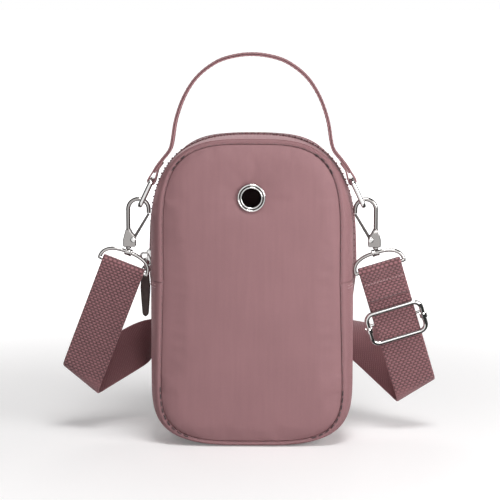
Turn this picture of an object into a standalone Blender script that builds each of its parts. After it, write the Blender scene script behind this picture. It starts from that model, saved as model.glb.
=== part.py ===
"""A small zipped crossbody bag with a top handle and a webbing strap that clips on with swivel hooks.

Metres, +Z up. The front faces -Y and the bag stands on z = 0, with the origin at the middle of its base.
"""

import math

import bmesh
import bpy
from mathutils import Matrix, Vector

# One millimetre, the unit that every size below is written in.
MM = 0.001

# The fit that neighbouring pieces keep, and how far a cutter runs past what it cuts.
GAP = 0.3 * MM
OVERRUN = 4.0 * MM

# The bag's outside.
BAG_WIDTH = 119.0 * MM
BAG_HEIGHT = 180.0 * MM
BAG_DEPTH = 54.0 * MM
ARCH_HEIGHT = 62.0 * MM
ARCH_EXPONENT = 2.7
PANEL_EXPONENT = 3.4
FOOT_HEIGHT = 40.0 * MM
FOOT_EXPONENT = 3.6
FOOT_FLAT = 0.5 * MM
PANEL_SIDE_INSET = 6.9 * MM
PANEL_TOP_INSET = 2.6 * MM
PANEL_FOOT_INSET = 2.2 * MM
PANEL_LIP = 1.2 * MM
SEAM_DROP = 84.0 * MM
SEAM_HEIGHT = BAG_HEIGHT - SEAM_DROP
SIDE_WALL = 1.8 * MM
PANEL_EDGE = 1.8 * MM
PANEL_CROWN = 3.0 * MM
PANEL_PAD = 2.4 * MM
PANEL_ROOM = 0.4 * MM
# A panel's rounded edge: the share of the way to its middle, and of its padding.
EDGE_SHARES = ((0.0, 0.0), (0.0, 0.55), (0.012, 0.82), (0.035, 1.0))
CORE_SHARE = 0.04

# The lining pouch, open at the top under the zip.
LINING_WALL = 0.8 * MM
LINING_ROOM = 0.5 * MM
LINING_DROP = 52.0 * MM
LINING_TOP = BAG_HEIGHT - LINING_DROP

# The zip that runs over the top from seam to seam.
ZIP_WIDTH = 12.0 * MM
ZIP_TAPE = 0.9 * MM
# How far the teeth stand above the band beside them, and how far the tape runs under it.
ZIP_PROUD = 0.6 * MM
TAPE_UNDER = 4.0 * MM
TOOTH_PITCH = 3.3 * MM
TOOTH_HALF = 1.9 * MM
TOOTH_OFFSET = 0.7 * MM
TOOTH_RISE = 1.5 * MM
ZIP_STOP = 4.0 * MM

# The zip's slider, its link and its leather tab, which hang on the left side.
SLIDER_LENGTH = 9.0 * MM
SLIDER_PLATE = 1.2 * MM
SLIDER_WALL = 1.0 * MM
SLIDER_DROP = 73.0 * MM
SLIDER_HEIGHT = BAG_HEIGHT - SLIDER_DROP
BAIL_RISE = 4.2 * MM
BAIL_LENGTH = 5.0 * MM
BAIL_WIRE = 0.7 * MM
LINK_WIRE = 0.7 * MM
LINK_LENGTH = 8.0 * MM
LINK_INSIDE = 3.2 * MM
TAB_LENGTH = 30.0 * MM
TAB_WIDTH = 5.8 * MM
TAB_THICKNESS = 2.4 * MM
TAB_EYE = 1.7 * MM

# The eyelet in the front.
EYELET_DROP = 34.7 * MM
EYELET_HEIGHT = BAG_HEIGHT - EYELET_DROP
EYELET_BORE = 5.7 * MM
EYELET_FLANGE = 8.1 * MM
EYELET_LIP = 1.4 * MM
EYELET_BARREL = 0.7 * MM
EYELET_WASHER = 0.8 * MM

# The handle and the rings that its ends hold.
HANDLE_WIDTH = 11.0 * MM
HANDLE_THICKNESS = 2.3 * MM
HANDLE_INSET = 11.0 * MM
HANDLE_PLACE = -(BAG_DEPTH / 2 - HANDLE_INSET)
HANDLE_RISE = 47.0 * MM
HANDLE_TOP = BAG_HEIGHT + HANDLE_RISE
HANDLE_LAP = 9.0 * MM
LAP_LENGTH = 15.3 * MM
# The handle's line from a ring to its top: the share of the ring's place, and of the rise.
HANDLE_SHARES = (
    (1.0000, 0.0000),
    (0.9441, 0.0906),
    (0.8689, 0.1686),
    (0.8217, 0.2272),
    (0.7937, 0.3052),
    (0.7552, 0.4850),
    (0.6696, 0.6718),
    (0.5385, 0.8265),
    (0.3531, 0.9380),
    (0.1748, 0.9854),
    (0.0000, 1.0000),
)
RING_WIRE = 1.4 * MM
RING_WIDTH = 14.4 * MM
RING_CORNER = 3.6 * MM
RING_TOP_INSET = 2.3 * MM
RING_TOP_OUT = BAG_WIDTH / 2 - RING_TOP_INSET
RING_TOP_DROP = 25.9 * MM
RING_TOP_HEIGHT = BAG_HEIGHT - RING_TOP_DROP
RING_FOOT_REACH = 4.5 * MM
RING_FOOT_OUT = BAG_WIDTH / 2 + RING_FOOT_REACH
RING_RISE = 14.3 * MM
RING_FOOT_HEIGHT = RING_TOP_HEIGHT - RING_RISE

# What the handle's eyes and laps measure.
HANDLE_EYE = RING_WIRE + GAP
EYE_WALL = HANDLE_THICKNESS / 2
LAP_THICKNESS = HANDLE_THICKNESS + EYE_WALL + EYE_WALL / 2

# The swivel hooks, placed in their own plane: out from the bag's middle, and height.
HOOK_WIRE = 1.25 * MM
GATE_THICKNESS = 1.0 * MM
GATE_WIDTH = 2.6 * MM
GATE_PIN = 0.75 * MM
GATE_EYE = 1.65 * MM
SPINE_REACH = 11.7 * MM
SPINE_OUT = BAG_WIDTH / 2 + SPINE_REACH
SWIVEL_OUT = SPINE_OUT
BOW_RADIUS = 5.9 * MM
BOW_OUT = SPINE_OUT - BOW_RADIUS
BOW_DROP = 2.7 * MM
BOW_HEIGHT = RING_FOOT_HEIGHT - BOW_DROP
NOSE_DROP = 2.2 * MM
NOSE_FOOT = BOW_HEIGHT - NOSE_DROP
BASE_INSIDE = 4.4 * MM
BASE_INNER = SPINE_OUT - BASE_INSIDE
BASE_OUTSIDE = 3.0 * MM
BASE_OUTER = SPINE_OUT + BASE_OUTSIDE
BASE_DROP = 13.8 * MM
BASE_HIGH = BOW_HEIGHT - BASE_DROP
BASE_TALL = 7.9 * MM
BASE_LOW = BASE_HIGH - BASE_TALL
BASE_HALF = 2.9 * MM
SLOT_INSET = 1.2 * MM
SLOT_END = SPINE_OUT - SLOT_INSET
PIN_INSET = 2.9 * MM
PIN_OUT = SPINE_OUT - PIN_INSET
PIN_DROP = 3.7 * MM
PIN_HEIGHT = BASE_HIGH - PIN_DROP
SWIVEL_POST = 1.1 * MM
POST_SHANK = 1.0 * MM
POST_HEAD = 1.0 * MM
HEAD_WIDER = 0.6 * MM
EYE_DROP = 3.3 * MM
RING_EYE_HEIGHT = BASE_LOW - EYE_DROP
BEAD_LENGTH = 4.2 * MM
BEAD_WALL = 0.75 * MM
BEAD_ROOM = 0.35 * MM

# The strap: its rings, its webbing, its slider and its tie.
WEB_WIDTH = 25.4 * MM
WEB_THICKNESS = 1.4 * MM
D_WIRE = 1.1 * MM
D_HALF = 14.6 * MM
D_EXPONENT = 2.5
D_RISE = 8.8 * MM
LEFT_RING_TILT = 21.5
RIGHT_RING_TILT = 17.0
FLAP_LENGTH = 19.0 * MM
ADJUSTER_LENGTH = 19.4 * MM
ADJUSTER_WIDTH = 32.8 * MM
ADJUSTER_CORNER = 4.6 * MM
ADJUSTER_WIRE = 1.15 * MM
ADJUSTER_PLACE = 37.0 * MM
ADJUSTER_BAR = 1.0 * MM
BAR_WIRE = 0.9 * MM
BAR_BEND = 1.2 * MM
CURL_WALL = 0.8 * MM
CURL_LENGTH = 3.0 * MM
# The sewn tab's neck: shares of its outer radius, along it and off its bar.
NECK_SHARES = ((0.9, -0.75), (2.6, 0.0))

# The strap's route. Its front leans back as it falls, folds over, and rises behind the bag.
WRAP = D_WIRE + GAP + WEB_THICKNESS / 2
FLAP_FLARE = 15.0
FLAP_BEND = 3.0 * MM
LEAN = 15.0
LEFT_FALL = 82.0 * MM
RIGHT_FALL = 88.5 * MM
FOLD_RADIUS = 7.0 * MM
LEAD_START = 26.0 * MM
LEFT_HEADING = Vector((0.82, 0.33, 0.46)).normalized()
RIGHT_HEADING = Vector((0.71, 0.33, 0.62)).normalized()
LEFT_ENTRY = 4.0
RIGHT_ENTRY = 18.0
HANK_RUNS = 8
HANK_RADIUS = 4.7 * MM
HANK_REACH = 19.0 * MM
HANK_PLACE = BAG_DEPTH / 2 + HANK_REACH
HANK_TURN = 8.0 * MM
STRAP_LENGTH = 1200.0 * MM

# The tie that holds the hank together.
TIE_HEIGHT = 26.0 * MM
TIE_WIDTH = 9.0 * MM
TIE_WALL = 1.0 * MM

# How finely round things are cut.
ARCH_STEPS = 44
FOOT_STEPS = 38
ROUND_SIDES = 24
WALL_STEPS = 5
CROWN_STEPS = 4
WIRE_SIDES = 2
CURVE_STEPS = 5
FINE_STEPS = 240
LEAD_STEPS = 14
TURN_STEPS = 10
WEB_ACROSS = 4
FOLD_FINENESS = 4
STEP = 3.0 * MM

PARTS = None
CUTTERS = None


def start():
    """An empty scene with one collection for the bag and one for its cutters."""
    global PARTS, CUTTERS
    for obj in list(bpy.data.objects):
        bpy.data.objects.remove(obj)
    PARTS = bpy.data.collections.new("crossbody_bag")
    CUTTERS = bpy.data.collections.new("cutters")
    CUTTERS.hide_render = True
    for collection in (PARTS, CUTTERS):
        bpy.context.scene.collection.children.link(collection)


def material(name, colour, roughness, metallic=0.0):
    made = bpy.data.materials.get(name) or bpy.data.materials.new(name)
    made.use_nodes = True
    shader = made.node_tree.nodes["Principled BSDF"]
    shader.inputs["Base Color"].default_value = (*colour, 1.0)
    shader.inputs["Roughness"].default_value = roughness
    shader.inputs["Metallic"].default_value = metallic
    return made


def nylon():
    return material("dusty_rose_nylon", (0.34, 0.17, 0.18), 0.6)


def webbing():
    return material("rose_webbing", (0.27, 0.13, 0.14), 0.85)


def leather():
    return material("dark_leather", (0.05, 0.03, 0.03), 0.5)


def teeth():
    return material("plum_zip", (0.16, 0.07, 0.08), 0.5)


def cloth():
    return material("lining_cloth", (0.10, 0.06, 0.06), 0.8)


def nickel():
    return material("polished_nickel", (0.80, 0.79, 0.78), 0.18, 1.0)


def place(name, mesh, finish):
    """The named piece, linked among the bag's parts."""
    obj = bpy.data.objects.new(name, mesh)
    mesh.materials.append(finish)
    PARTS.objects.link(obj)
    return obj


def cutter(name, mesh):
    obj = bpy.data.objects.new(name, mesh)
    obj.hide_render = True
    obj.display_type = "WIRE"
    CUTTERS.objects.link(obj)
    return obj


def smooth(mesh, angle=35.0):
    for face in mesh.polygons:
        face.use_smooth = True
    mesh.set_sharp_from_angle(angle=math.radians(angle))


def cut(obj, tool, operation="DIFFERENCE"):
    """Applies a Boolean of the tool to the piece."""
    modifier = obj.modifiers.new(tool.name, "BOOLEAN")
    modifier.operation = operation
    modifier.object = tool
    bake(obj)


def bake(obj):
    """The piece's modifiers applied to its mesh."""
    bpy.context.view_layer.update()
    graph = bpy.context.evaluated_depsgraph_get()
    mesh = bpy.data.meshes.new_from_object(obj.evaluated_get(graph))
    obj.modifiers.clear()
    obj.data = mesh


def loft(name, rings, closed_round=True, capped=True, closed_along=False):
    """A mesh through rings of equally many points."""
    shape = bmesh.new()
    rows = [[shape.verts.new(point) for point in ring] for ring in rings]
    count = len(rows[0])
    turns = count if closed_round else count - 1
    lengths = len(rows) if closed_along else len(rows) - 1
    for i in range(lengths):
        low, high = rows[i], rows[(i + 1) % len(rows)]
        for j in range(turns):
            k = (j + 1) % count
            shape.faces.new((low[j], low[k], high[k], high[j]))
    if capped and closed_round and not closed_along:
        shape.faces.new(rows[0])
        shape.faces.new(rows[-1])
    if closed_round:
        bmesh.ops.recalc_face_normals(shape, faces=shape.faces)
    mesh = bpy.data.meshes.new(name)
    shape.to_mesh(mesh)
    shape.free()
    return mesh


def wire(name, points, radius, finish=None, closed=False, sides=WIRE_SIDES):
    """A round wire along the points, as a mesh with its caps welded."""
    curve = bpy.data.curves.new(name, "CURVE")
    curve.dimensions = "3D"
    curve.bevel_depth = radius
    curve.bevel_resolution = sides
    curve.use_fill_caps = not closed
    spline = curve.splines.new("POLY")
    spline.points.add(len(points) - 1)
    for target, point in zip(spline.points, points):
        target.co = (*point, 1.0)
    spline.use_cyclic_u = closed
    guide = bpy.data.objects.new(name, curve)
    bpy.context.scene.collection.objects.link(guide)
    bpy.context.view_layer.update()
    graph = bpy.context.evaluated_depsgraph_get()
    mesh = bpy.data.meshes.new_from_object(guide.evaluated_get(graph))
    bpy.data.objects.remove(guide)
    shape = bmesh.new()
    shape.from_mesh(mesh)
    bmesh.ops.remove_doubles(shape, verts=shape.verts, dist=GAP / ROUND_SIDES)
    bmesh.ops.recalc_face_normals(shape, faces=shape.faces)
    shape.to_mesh(mesh)
    shape.free()
    mesh.materials.clear()
    smooth(mesh)
    return place(name, mesh, finish) if finish else mesh


def cylinder(name, radius, depth, centre, axis, sides=ROUND_SIDES):
    """A round bar centred on a point, its length along an axis."""
    shape = bmesh.new()
    turn = Vector((0, 0, 1)).rotation_difference(Vector(axis)).to_matrix().to_4x4()
    bmesh.ops.create_cone(
        shape,
        cap_ends=True,
        segments=sides,
        radius1=radius,
        radius2=radius,
        depth=depth,
        matrix=Matrix.Translation(centre) @ turn,
    )
    mesh = bpy.data.meshes.new(name)
    shape.to_mesh(mesh)
    shape.free()
    smooth(mesh)
    return mesh


def block(name, low, high, edge=0.0):
    """A box between two corners, its edges rounded."""
    size = Vector(high) - Vector(low)
    shape = bmesh.new()
    bmesh.ops.create_cube(shape, size=1.0)
    bmesh.ops.scale(shape, vec=size, verts=shape.verts)
    bmesh.ops.translate(shape, vec=(Vector(high) + Vector(low)) / 2, verts=shape.verts)
    if edge:
        bmesh.ops.bevel(shape, geom=shape.edges[:], offset=edge, segments=2, affect="EDGES")
    mesh = bpy.data.meshes.new(name)
    shape.to_mesh(mesh)
    shape.free()
    return mesh


def spread(points, count, closed=False):
    """The points again, count steps apart by equal lengths along their line."""
    line = list(points) + ([points[0]] if closed else [])
    along = [0.0]
    for a, b in zip(line, line[1:]):
        along.append(along[-1] + (b - a).length)
    made = []
    steps = count if closed else count + 1
    i = 0
    for k in range(steps):
        goal = along[-1] * k / count
        while i < len(line) - 2 and along[i + 1] < goal:
            i += 1
        span = along[i + 1] - along[i]
        share = (goal - along[i]) / span if span else 0.0
        made.append(line[i].lerp(line[i + 1], min(max(share, 0.0), 1.0)))
    return made


def curve_through(points, steps):
    """A smooth line through hand-placed points."""
    line = []
    ends = [points[0] * 2 - points[1], *points, points[-1] * 2 - points[-2]]
    for a, b, c, d in zip(ends, ends[1:], ends[2:], ends[3:]):
        for k in range(steps):
            t = k / steps
            line.append(
                0.5 * (2 * b + (c - a) * t + (2 * a - 5 * b + 4 * c - d) * t * t + (3 * b - a - 3 * c + d) * t**3)
            )
    return [*line, points[-1]]


def arch(inset_side, inset_top, wall=0.0, exponent=ARCH_EXPONENT):
    """The upper outline from the left seam over the top to the right seam, in X and Z."""
    half = BAG_WIDTH / 2 - inset_side - wall
    spring = BAG_HEIGHT - ARCH_HEIGHT
    rise = ARCH_HEIGHT - inset_top - wall
    line = [Vector((-half, 0, SEAM_HEIGHT))]
    for k in range(FINE_STEPS + 1):
        angle = math.pi * (1 - k / FINE_STEPS)
        x = half * math.copysign(abs(math.cos(angle)) ** (2 / exponent), math.cos(angle))
        z = spring + rise * abs(math.sin(angle)) ** (2 / exponent)
        line.append(Vector((x, 0, z)))
    line.append(Vector((half, 0, SEAM_HEIGHT)))
    return line


def foot(inset_side, inset_foot, wall=0.0):
    """The lower outline from the right seam under the bag to the left seam, in X and Z."""
    half = BAG_WIDTH / 2 - inset_side - wall
    drop = FOOT_HEIGHT + FOOT_FLAT - inset_foot - wall
    line = [Vector((half, 0, SEAM_HEIGHT))]
    for k in range(FINE_STEPS + 1):
        angle = -math.pi * k / FINE_STEPS
        x = half * math.copysign(abs(math.cos(angle)) ** (2 / FOOT_EXPONENT), math.cos(angle))
        z = FOOT_HEIGHT - drop * abs(math.sin(angle)) ** (2 / FOOT_EXPONENT)
        line.append(Vector((x, 0, z)))
    line.append(Vector((-half, 0, SEAM_HEIGHT)))
    return line


def at_depth(line, y):
    return [Vector((point.x, y, point.z)) for point in line]


def flare(share):
    """How much of the inset is left this share of the way from the zip to a panel."""
    return 1.0 - math.sqrt(max(0.0, 1.0 - share * share))


def wall_line(line_of, share, lip=0.0):
    """An outline at this share of the way from the zip to a panel, with any lip in the panel's plane."""
    left = flare(share)
    side = PANEL_SIDE_INSET * left + ZIP_PROUD + lip
    if line_of is arch:
        exponent = ARCH_EXPONENT + (PANEL_EXPONENT - ARCH_EXPONENT) * left
        return arch(side, PANEL_TOP_INSET * left + ZIP_PROUD + lip, exponent=exponent)
    return foot(side, PANEL_FOOT_INSET * left + lip)


def wall_rows(line_of, facing, steps, side):
    """A wall's rows from the zip's edge round to its lip beside a panel."""
    rows = []
    for share, lip in [(share, 0.0) for share in shares(WALL_STEPS)] + [(1.0, PANEL_LIP)]:
        line = spread(seamed(wall_line(line_of, share, lip), side), steps)
        rows.append(at_depth(line, facing * depth_at(share)))
    return rows


def depth_at(share):
    return ZIP_WIDTH / 2 + (BAG_DEPTH - ZIP_WIDTH) / 2 * share


def thickened(obj, wall):
    """The sheet given a wall on its inner side."""
    modifier = obj.modifiers.new("wall", "SOLIDIFY")
    modifier.thickness = wall
    modifier.offset = -1.0
    modifier.use_even_offset = True
    modifier.use_rim = True
    bake(obj)
    return obj


def sheet(name, rows, wall, finish, outward):
    """A shell: rows of points along a wall, faced outward and given its wall."""
    mesh = loft(name, rows, closed_round=False)
    shape = bmesh.new()
    shape.from_mesh(mesh)
    bmesh.ops.recalc_face_normals(shape, faces=shape.faces)
    shape.faces.ensure_lookup_table()
    middle = shape.faces[len(shape.faces) // 2]
    if middle.normal.dot(outward(middle.calc_center_median())) < 0:
        bmesh.ops.reverse_faces(shape, faces=shape.faces)
    shape.to_mesh(mesh)
    shape.free()
    smooth(mesh)
    return thickened(place(name, mesh, finish), wall)


def out_of_bag(point):
    return Vector((point.x, 0, point.z - BAG_HEIGHT / 2))


def shares(count):
    """Even steps of angle from the zip's edge round to a panel's."""
    return [math.sin(math.pi / 2 * k / count) for k in range(count + 1)]


def seamed(line, side):
    """The line held half a gap off the seam."""
    for point in (line[0], line[-1]):
        point.z += side * GAP / 2
    return line


def band(name, facing):
    """The wall between the zip and a panel, over the top from seam to seam."""
    return sheet(name, wall_rows(arch, facing, ARCH_STEPS, 1), SIDE_WALL, nylon(), out_of_bag)


def lower_gusset():
    """The wall under the bag, which spans its whole depth and ends at the two seams."""
    rows = wall_rows(foot, -1, FOOT_STEPS, -1)[::-1] + wall_rows(foot, 1, FOOT_STEPS, -1)
    gusset = sheet("lower_gusset", rows, SIDE_WALL, nylon(), out_of_bag)
    floor = block(
        "foot_plane",
        (-BAG_WIDTH, -BAG_DEPTH, -BAG_DEPTH),
        (BAG_WIDTH, BAG_DEPTH, 0.0),
    )
    cut(gusset, cutter("foot_plane", floor))
    return gusset


def panel_outline(room):
    """The closed line that a panel's edge follows, this far inside the wall's edge."""
    top = spread(seamed(wall_line(arch, 1.0, PANEL_LIP), 1), ARCH_STEPS)
    low = spread(seamed(wall_line(foot, 1.0, PANEL_LIP), -1), FOOT_STEPS)
    line = top + low
    made = []
    for k, point in enumerate(line):
        before, after = line[k - 1], line[(k + 1) % len(line)]
        along = (after - before).normalized()
        made.append(point + Vector((along.z, 0, -along.x)) * room)
    return made


def panel(name, facing):
    """A padded panel: flat inside, crowned outside, with a rounded edge."""
    outline = panel_outline(PANEL_ROOM)
    middle = Vector((0, 0, BAG_HEIGHT / 2))
    back = facing * (BAG_DEPTH / 2 - PANEL_EDGE)
    rings = []
    for reach, rise in EDGE_SHARES:
        ring = [point.lerp(middle, reach) for point in outline]
        rings.append([Vector((p.x, back + facing * PANEL_PAD * rise, p.z)) for p in ring])
    steps = CROWN_STEPS
    rim = EDGE_SHARES[-1][0]
    for k in range(1, steps + 1):
        reach = min(rim + (1 - rim) * k / steps, 1 - CORE_SHARE)
        crown = PANEL_CROWN * (1 - (1 - reach) ** 2)
        ring = [point.lerp(middle, reach) for point in outline]
        rings.append([Vector((p.x, back + facing * (PANEL_PAD + crown), p.z)) for p in ring])
    mesh = loft(name, rings)
    smooth(mesh, 50)
    return place(name, mesh, nylon())


def front_panel():
    made = panel("front_panel", -1)
    hole = cylinder(
        "eyelet_hole",
        EYELET_BORE + EYELET_BARREL + GAP,
        BAG_DEPTH,
        (0, -BAG_DEPTH / 2, EYELET_HEIGHT),
        (0, 1, 0),
        ROUND_SIDES * 2,
    )
    cut(made, cutter("eyelet_hole", hole))
    smooth(made.data, 50)
    return made


def crown_at(height):
    """How far the front's face stands out at this height on its middle line."""
    middle = BAG_HEIGHT / 2
    edge = BAG_HEIGHT - PANEL_TOP_INSET - PANEL_LIP - ZIP_PROUD - PANEL_ROOM - middle
    reach = 1 - abs(height - middle) / edge
    return BAG_DEPTH / 2 - PANEL_EDGE + PANEL_PAD + PANEL_CROWN * (1 - (1 - reach) ** 2)


def turned(name, profile, finish, axis_at, sides=ROUND_SIDES * 2):
    """A closed profile of radius and height turned about an axis along Y."""
    rings = []
    for k in range(sides):
        angle = 2 * math.pi * k / sides
        out = Vector((math.cos(angle), 0, math.sin(angle)))
        rings.append([axis_at + out * radius + Vector((0, height, 0)) for radius, height in profile])
    mesh = loft(name, rings, capped=False, closed_along=True)
    smooth(mesh)
    return place(name, mesh, finish)


def eyelet():
    """The rolled ring in the front and its barrel, with the washer behind the panel."""
    centre = Vector((0, 0, EYELET_HEIGHT))
    face = -crown_at(EYELET_HEIGHT - EYELET_FLANGE)
    out = face - GAP
    lip = out - EYELET_LIP
    inner = -(BAG_DEPTH / 2 - PANEL_EDGE)
    tail = inner + GAP + EYELET_WASHER + GAP
    wide = (EYELET_FLANGE + EYELET_BORE) / 2
    turned(
        "eyelet",
        [
            (EYELET_BORE, tail),
            (EYELET_BORE, out - EYELET_LIP / 2),
            (EYELET_BORE + EYELET_LIP / 4, lip + EYELET_LIP / 8),
            (wide, lip),
            (EYELET_FLANGE - EYELET_LIP / 4, lip + EYELET_LIP / 4),
            (EYELET_FLANGE, out - EYELET_LIP / 4),
            (EYELET_FLANGE - EYELET_LIP / 8, out),
            (EYELET_BORE + EYELET_BARREL, out),
            (EYELET_BORE + EYELET_BARREL, tail),
        ],
        nickel(),
        centre,
    )
    turned(
        "eyelet_washer",
        [
            (EYELET_BORE + EYELET_BARREL + GAP, inner + GAP),
            (EYELET_FLANGE, inner + GAP),
            (EYELET_FLANGE, inner + GAP + EYELET_WASHER),
            (EYELET_BORE + EYELET_BARREL + GAP, inner + GAP + EYELET_WASHER),
        ],
        nickel(),
        centre,
    )


def lining():
    """The cloth pouch inside, open under the zip."""
    wall = SIDE_WALL + LINING_ROOM + PANEL_LIP
    top = [p for p in spread(arch(PANEL_SIDE_INSET, PANEL_TOP_INSET, wall), ARCH_STEPS) if p.z < LINING_TOP]
    left = [p for p in top if p.x < 0]
    right = [p for p in top if p.x > 0]
    low = spread(foot(PANEL_SIDE_INSET, PANEL_FOOT_INSET, wall), FOOT_STEPS)
    outline = right + low[1:-1] + left
    deep = BAG_DEPTH / 2 - PANEL_EDGE - GAP
    rings = [at_depth(outline, y) for y in (-deep, -deep / 3, deep / 3, deep)]
    mesh = loft("inner_lining", rings)
    shape = bmesh.new()
    shape.from_mesh(mesh)
    lid = [face for face in shape.faces if abs(face.normal.z) > 0.9 and face.calc_center_median().z > SEAM_HEIGHT]
    bmesh.ops.delete(shape, geom=lid, context="FACES")
    shape.to_mesh(mesh)
    shape.free()
    pouch = place("inner_lining", mesh, cloth())
    return thickened(pouch, LINING_WALL)


def zip_tape(name, facing):
    """A strip of tape that runs from the teeth to under the band's edge."""
    near = TOOTH_HALF - TOOTH_OFFSET
    far = ZIP_WIDTH / 2 + TAPE_UNDER
    rows = []
    for y in (near, far):
        line = arch(ZIP_PROUD, ZIP_PROUD, SIDE_WALL + GAP)
        rows.append(at_depth(spread(seamed(line, 1), ARCH_STEPS), facing * y))
    return sheet(name, rows, ZIP_TAPE, cloth(), out_of_bag)


def zip_chain():
    """The closed teeth: a core with teeth that reach to one side and the other in turn."""
    top = arch(0.0, 0.0)
    base = arch(0.0, 0.0, ZIP_PROUD + SIDE_WALL)
    count = round((length_of(top) - ZIP_STOP * 2) / TOOTH_PITCH)
    marks = count * 4
    over, under = spread(top, marks), spread(base, marks)
    shallow = TOOTH_RISE / (ZIP_PROUD + SIDE_WALL) / 2
    rings = []
    for k in range(marks + 1):
        low = under[k]
        phase = k % 4
        is_tooth = phase % 2 == 0
        side = TOOTH_OFFSET * (1 - phase) if is_tooth else 0.0
        high = over[k] if is_tooth else over[k].lerp(low, shallow)
        half = TOOTH_HALF - TOOTH_OFFSET if is_tooth else TOOTH_HALF - TOOTH_OFFSET * 2
        rings.append(
            [
                Vector((low.x, side - half, low.z)),
                Vector((high.x, side - half, high.z)),
                Vector((high.x, side + half, high.z)),
                Vector((low.x, side + half, low.z)),
            ]
        )
    return place("zip_chain", loft("zip_chain", rings), teeth())


def side_wall_at(height):
    """How far out the bag's side stands on the zip's line at this height."""
    line = [point for point in arch(ZIP_PROUD, ZIP_PROUD) if point.x < 0]
    return -min(line, key=lambda point: abs(point.z - height)).x


# Where the slider, its bail and its link stand off the band.
SLIDER_OUT = ZIP_PROUD + GAP
BAIL_ROOM = BAIL_RISE - BAIL_WIRE
BAIL_OUT = SLIDER_OUT + SLIDER_PLATE + BAIL_RISE
LINK_OUT = SLIDER_OUT + SLIDER_PLATE + BAIL_ROOM / 2


def link_axis():
    """The middle of the link's top bar, which rests on the bail's lower arm."""
    rest = SLIDER_HEIGHT - BAIL_LENGTH / 2 + BAIL_WIRE + LINK_WIRE + GAP
    return Vector((-side_wall_at(SLIDER_HEIGHT) - LINK_OUT, 0, rest))


def tab_axis():
    """The middle of the link's lower bar, which the tab hangs on."""
    return link_axis() - Vector((0, 0, LINK_LENGTH - LINK_WIRE - LINK_WIRE))


def zip_slider():
    """The slider: a plate over the teeth with side walls that clasp them, and a bail on it."""
    face = -side_wall_at(SLIDER_HEIGHT)
    half = TOOTH_HALF + GAP + SLIDER_WALL
    low = face + SIDE_WALL
    plate = block(
        "zip_slider",
        (face - SLIDER_OUT - SLIDER_PLATE, -half, SLIDER_HEIGHT - SLIDER_LENGTH / 2),
        (low, half, SLIDER_HEIGHT + SLIDER_LENGTH / 2),
        SLIDER_WALL / 3,
    )
    slider = place("zip_slider", plate, nickel())
    channel = block(
        "zip_channel",
        (face - SLIDER_OUT, -TOOTH_HALF - GAP, SLIDER_HEIGHT - SLIDER_LENGTH),
        (low + OVERRUN, TOOTH_HALF + GAP, SLIDER_HEIGHT + SLIDER_LENGTH),
    )
    cut(slider, cutter("zip_channel", channel))
    reach = BAIL_LENGTH / 2
    base = face - SLIDER_OUT - SLIDER_PLATE / 2
    out = face - BAIL_OUT
    arm = [
        Vector((base, 0, SLIDER_HEIGHT - reach)),
        Vector((out + BAIL_WIRE, 0, SLIDER_HEIGHT - reach)),
        Vector((out, 0, SLIDER_HEIGHT - reach + BAIL_WIRE)),
        Vector((out, 0, SLIDER_HEIGHT + reach - BAIL_WIRE)),
        Vector((out + BAIL_WIRE, 0, SLIDER_HEIGHT + reach)),
        Vector((base, 0, SLIDER_HEIGHT + reach)),
    ]
    cut(slider, cutter("zip_bail", wire("zip_bail", arm, BAIL_WIRE)), "UNION")
    return slider


def rounded_loop(half_width, half_length, corner, steps=5):
    """The points of a rounded rectangle, in its own plane."""
    line = []
    for quarter, (x, z) in enumerate(((1, 1), (-1, 1), (-1, -1), (1, -1))):
        for k in range(steps + 1):
            angle = math.pi / 2 * (quarter + k / steps)
            line.append(
                (
                    x * (half_width - corner) + corner * math.cos(angle),
                    z * (half_length - corner) + corner * math.sin(angle),
                )
            )
    return line


def zip_link():
    """The small wire link that hangs the tab from the slider's bail."""
    middle = (link_axis() + tab_axis()) / 2
    half = (link_axis() - tab_axis()).length / 2
    wide = LINK_INSIDE / 2 + LINK_WIRE
    points = [middle + Vector((0, y, z)) for y, z in rounded_loop(wide, half, LINK_WIRE * 2)]
    return wire("zip_link", points, LINK_WIRE, nickel(), closed=True)


def zip_tab():
    """The leather tab: a rounded strip with an eye at its top for the link."""
    axis = tab_axis()
    eye_at = axis.z + LINK_WIRE + GAP - TAB_EYE
    top = eye_at + TAB_EYE + TAB_THICKNESS / 2
    plate = block(
        "zip_tab",
        (axis.x - TAB_WIDTH / 2, -TAB_THICKNESS / 2, top - TAB_LENGTH),
        (axis.x + TAB_WIDTH / 2, TAB_THICKNESS / 2, top),
        TAB_THICKNESS / 4,
    )
    tab = place("zip_tab", plate, leather())
    eye = cylinder("tab_eye", TAB_EYE, TAB_WIDTH, (axis.x, 0, eye_at), (0, 1, 0))
    cut(tab, cutter("tab_eye", eye))
    return tab


def handle_points():
    """The handle's middle line from the left ring over the top to the right ring."""
    rise = HANDLE_TOP - HANDLE_THICKNESS / 2 - RING_TOP_HEIGHT
    half = [(RING_TOP_OUT * out, RING_TOP_HEIGHT + rise * up) for out, up in HANDLE_SHARES]
    line = [Vector((-x, 0, z)) for x, z in half]
    line += [Vector((x, 0, z)) for x, z in half[-2::-1]]
    return curve_through(line, CURVE_STEPS)


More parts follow.
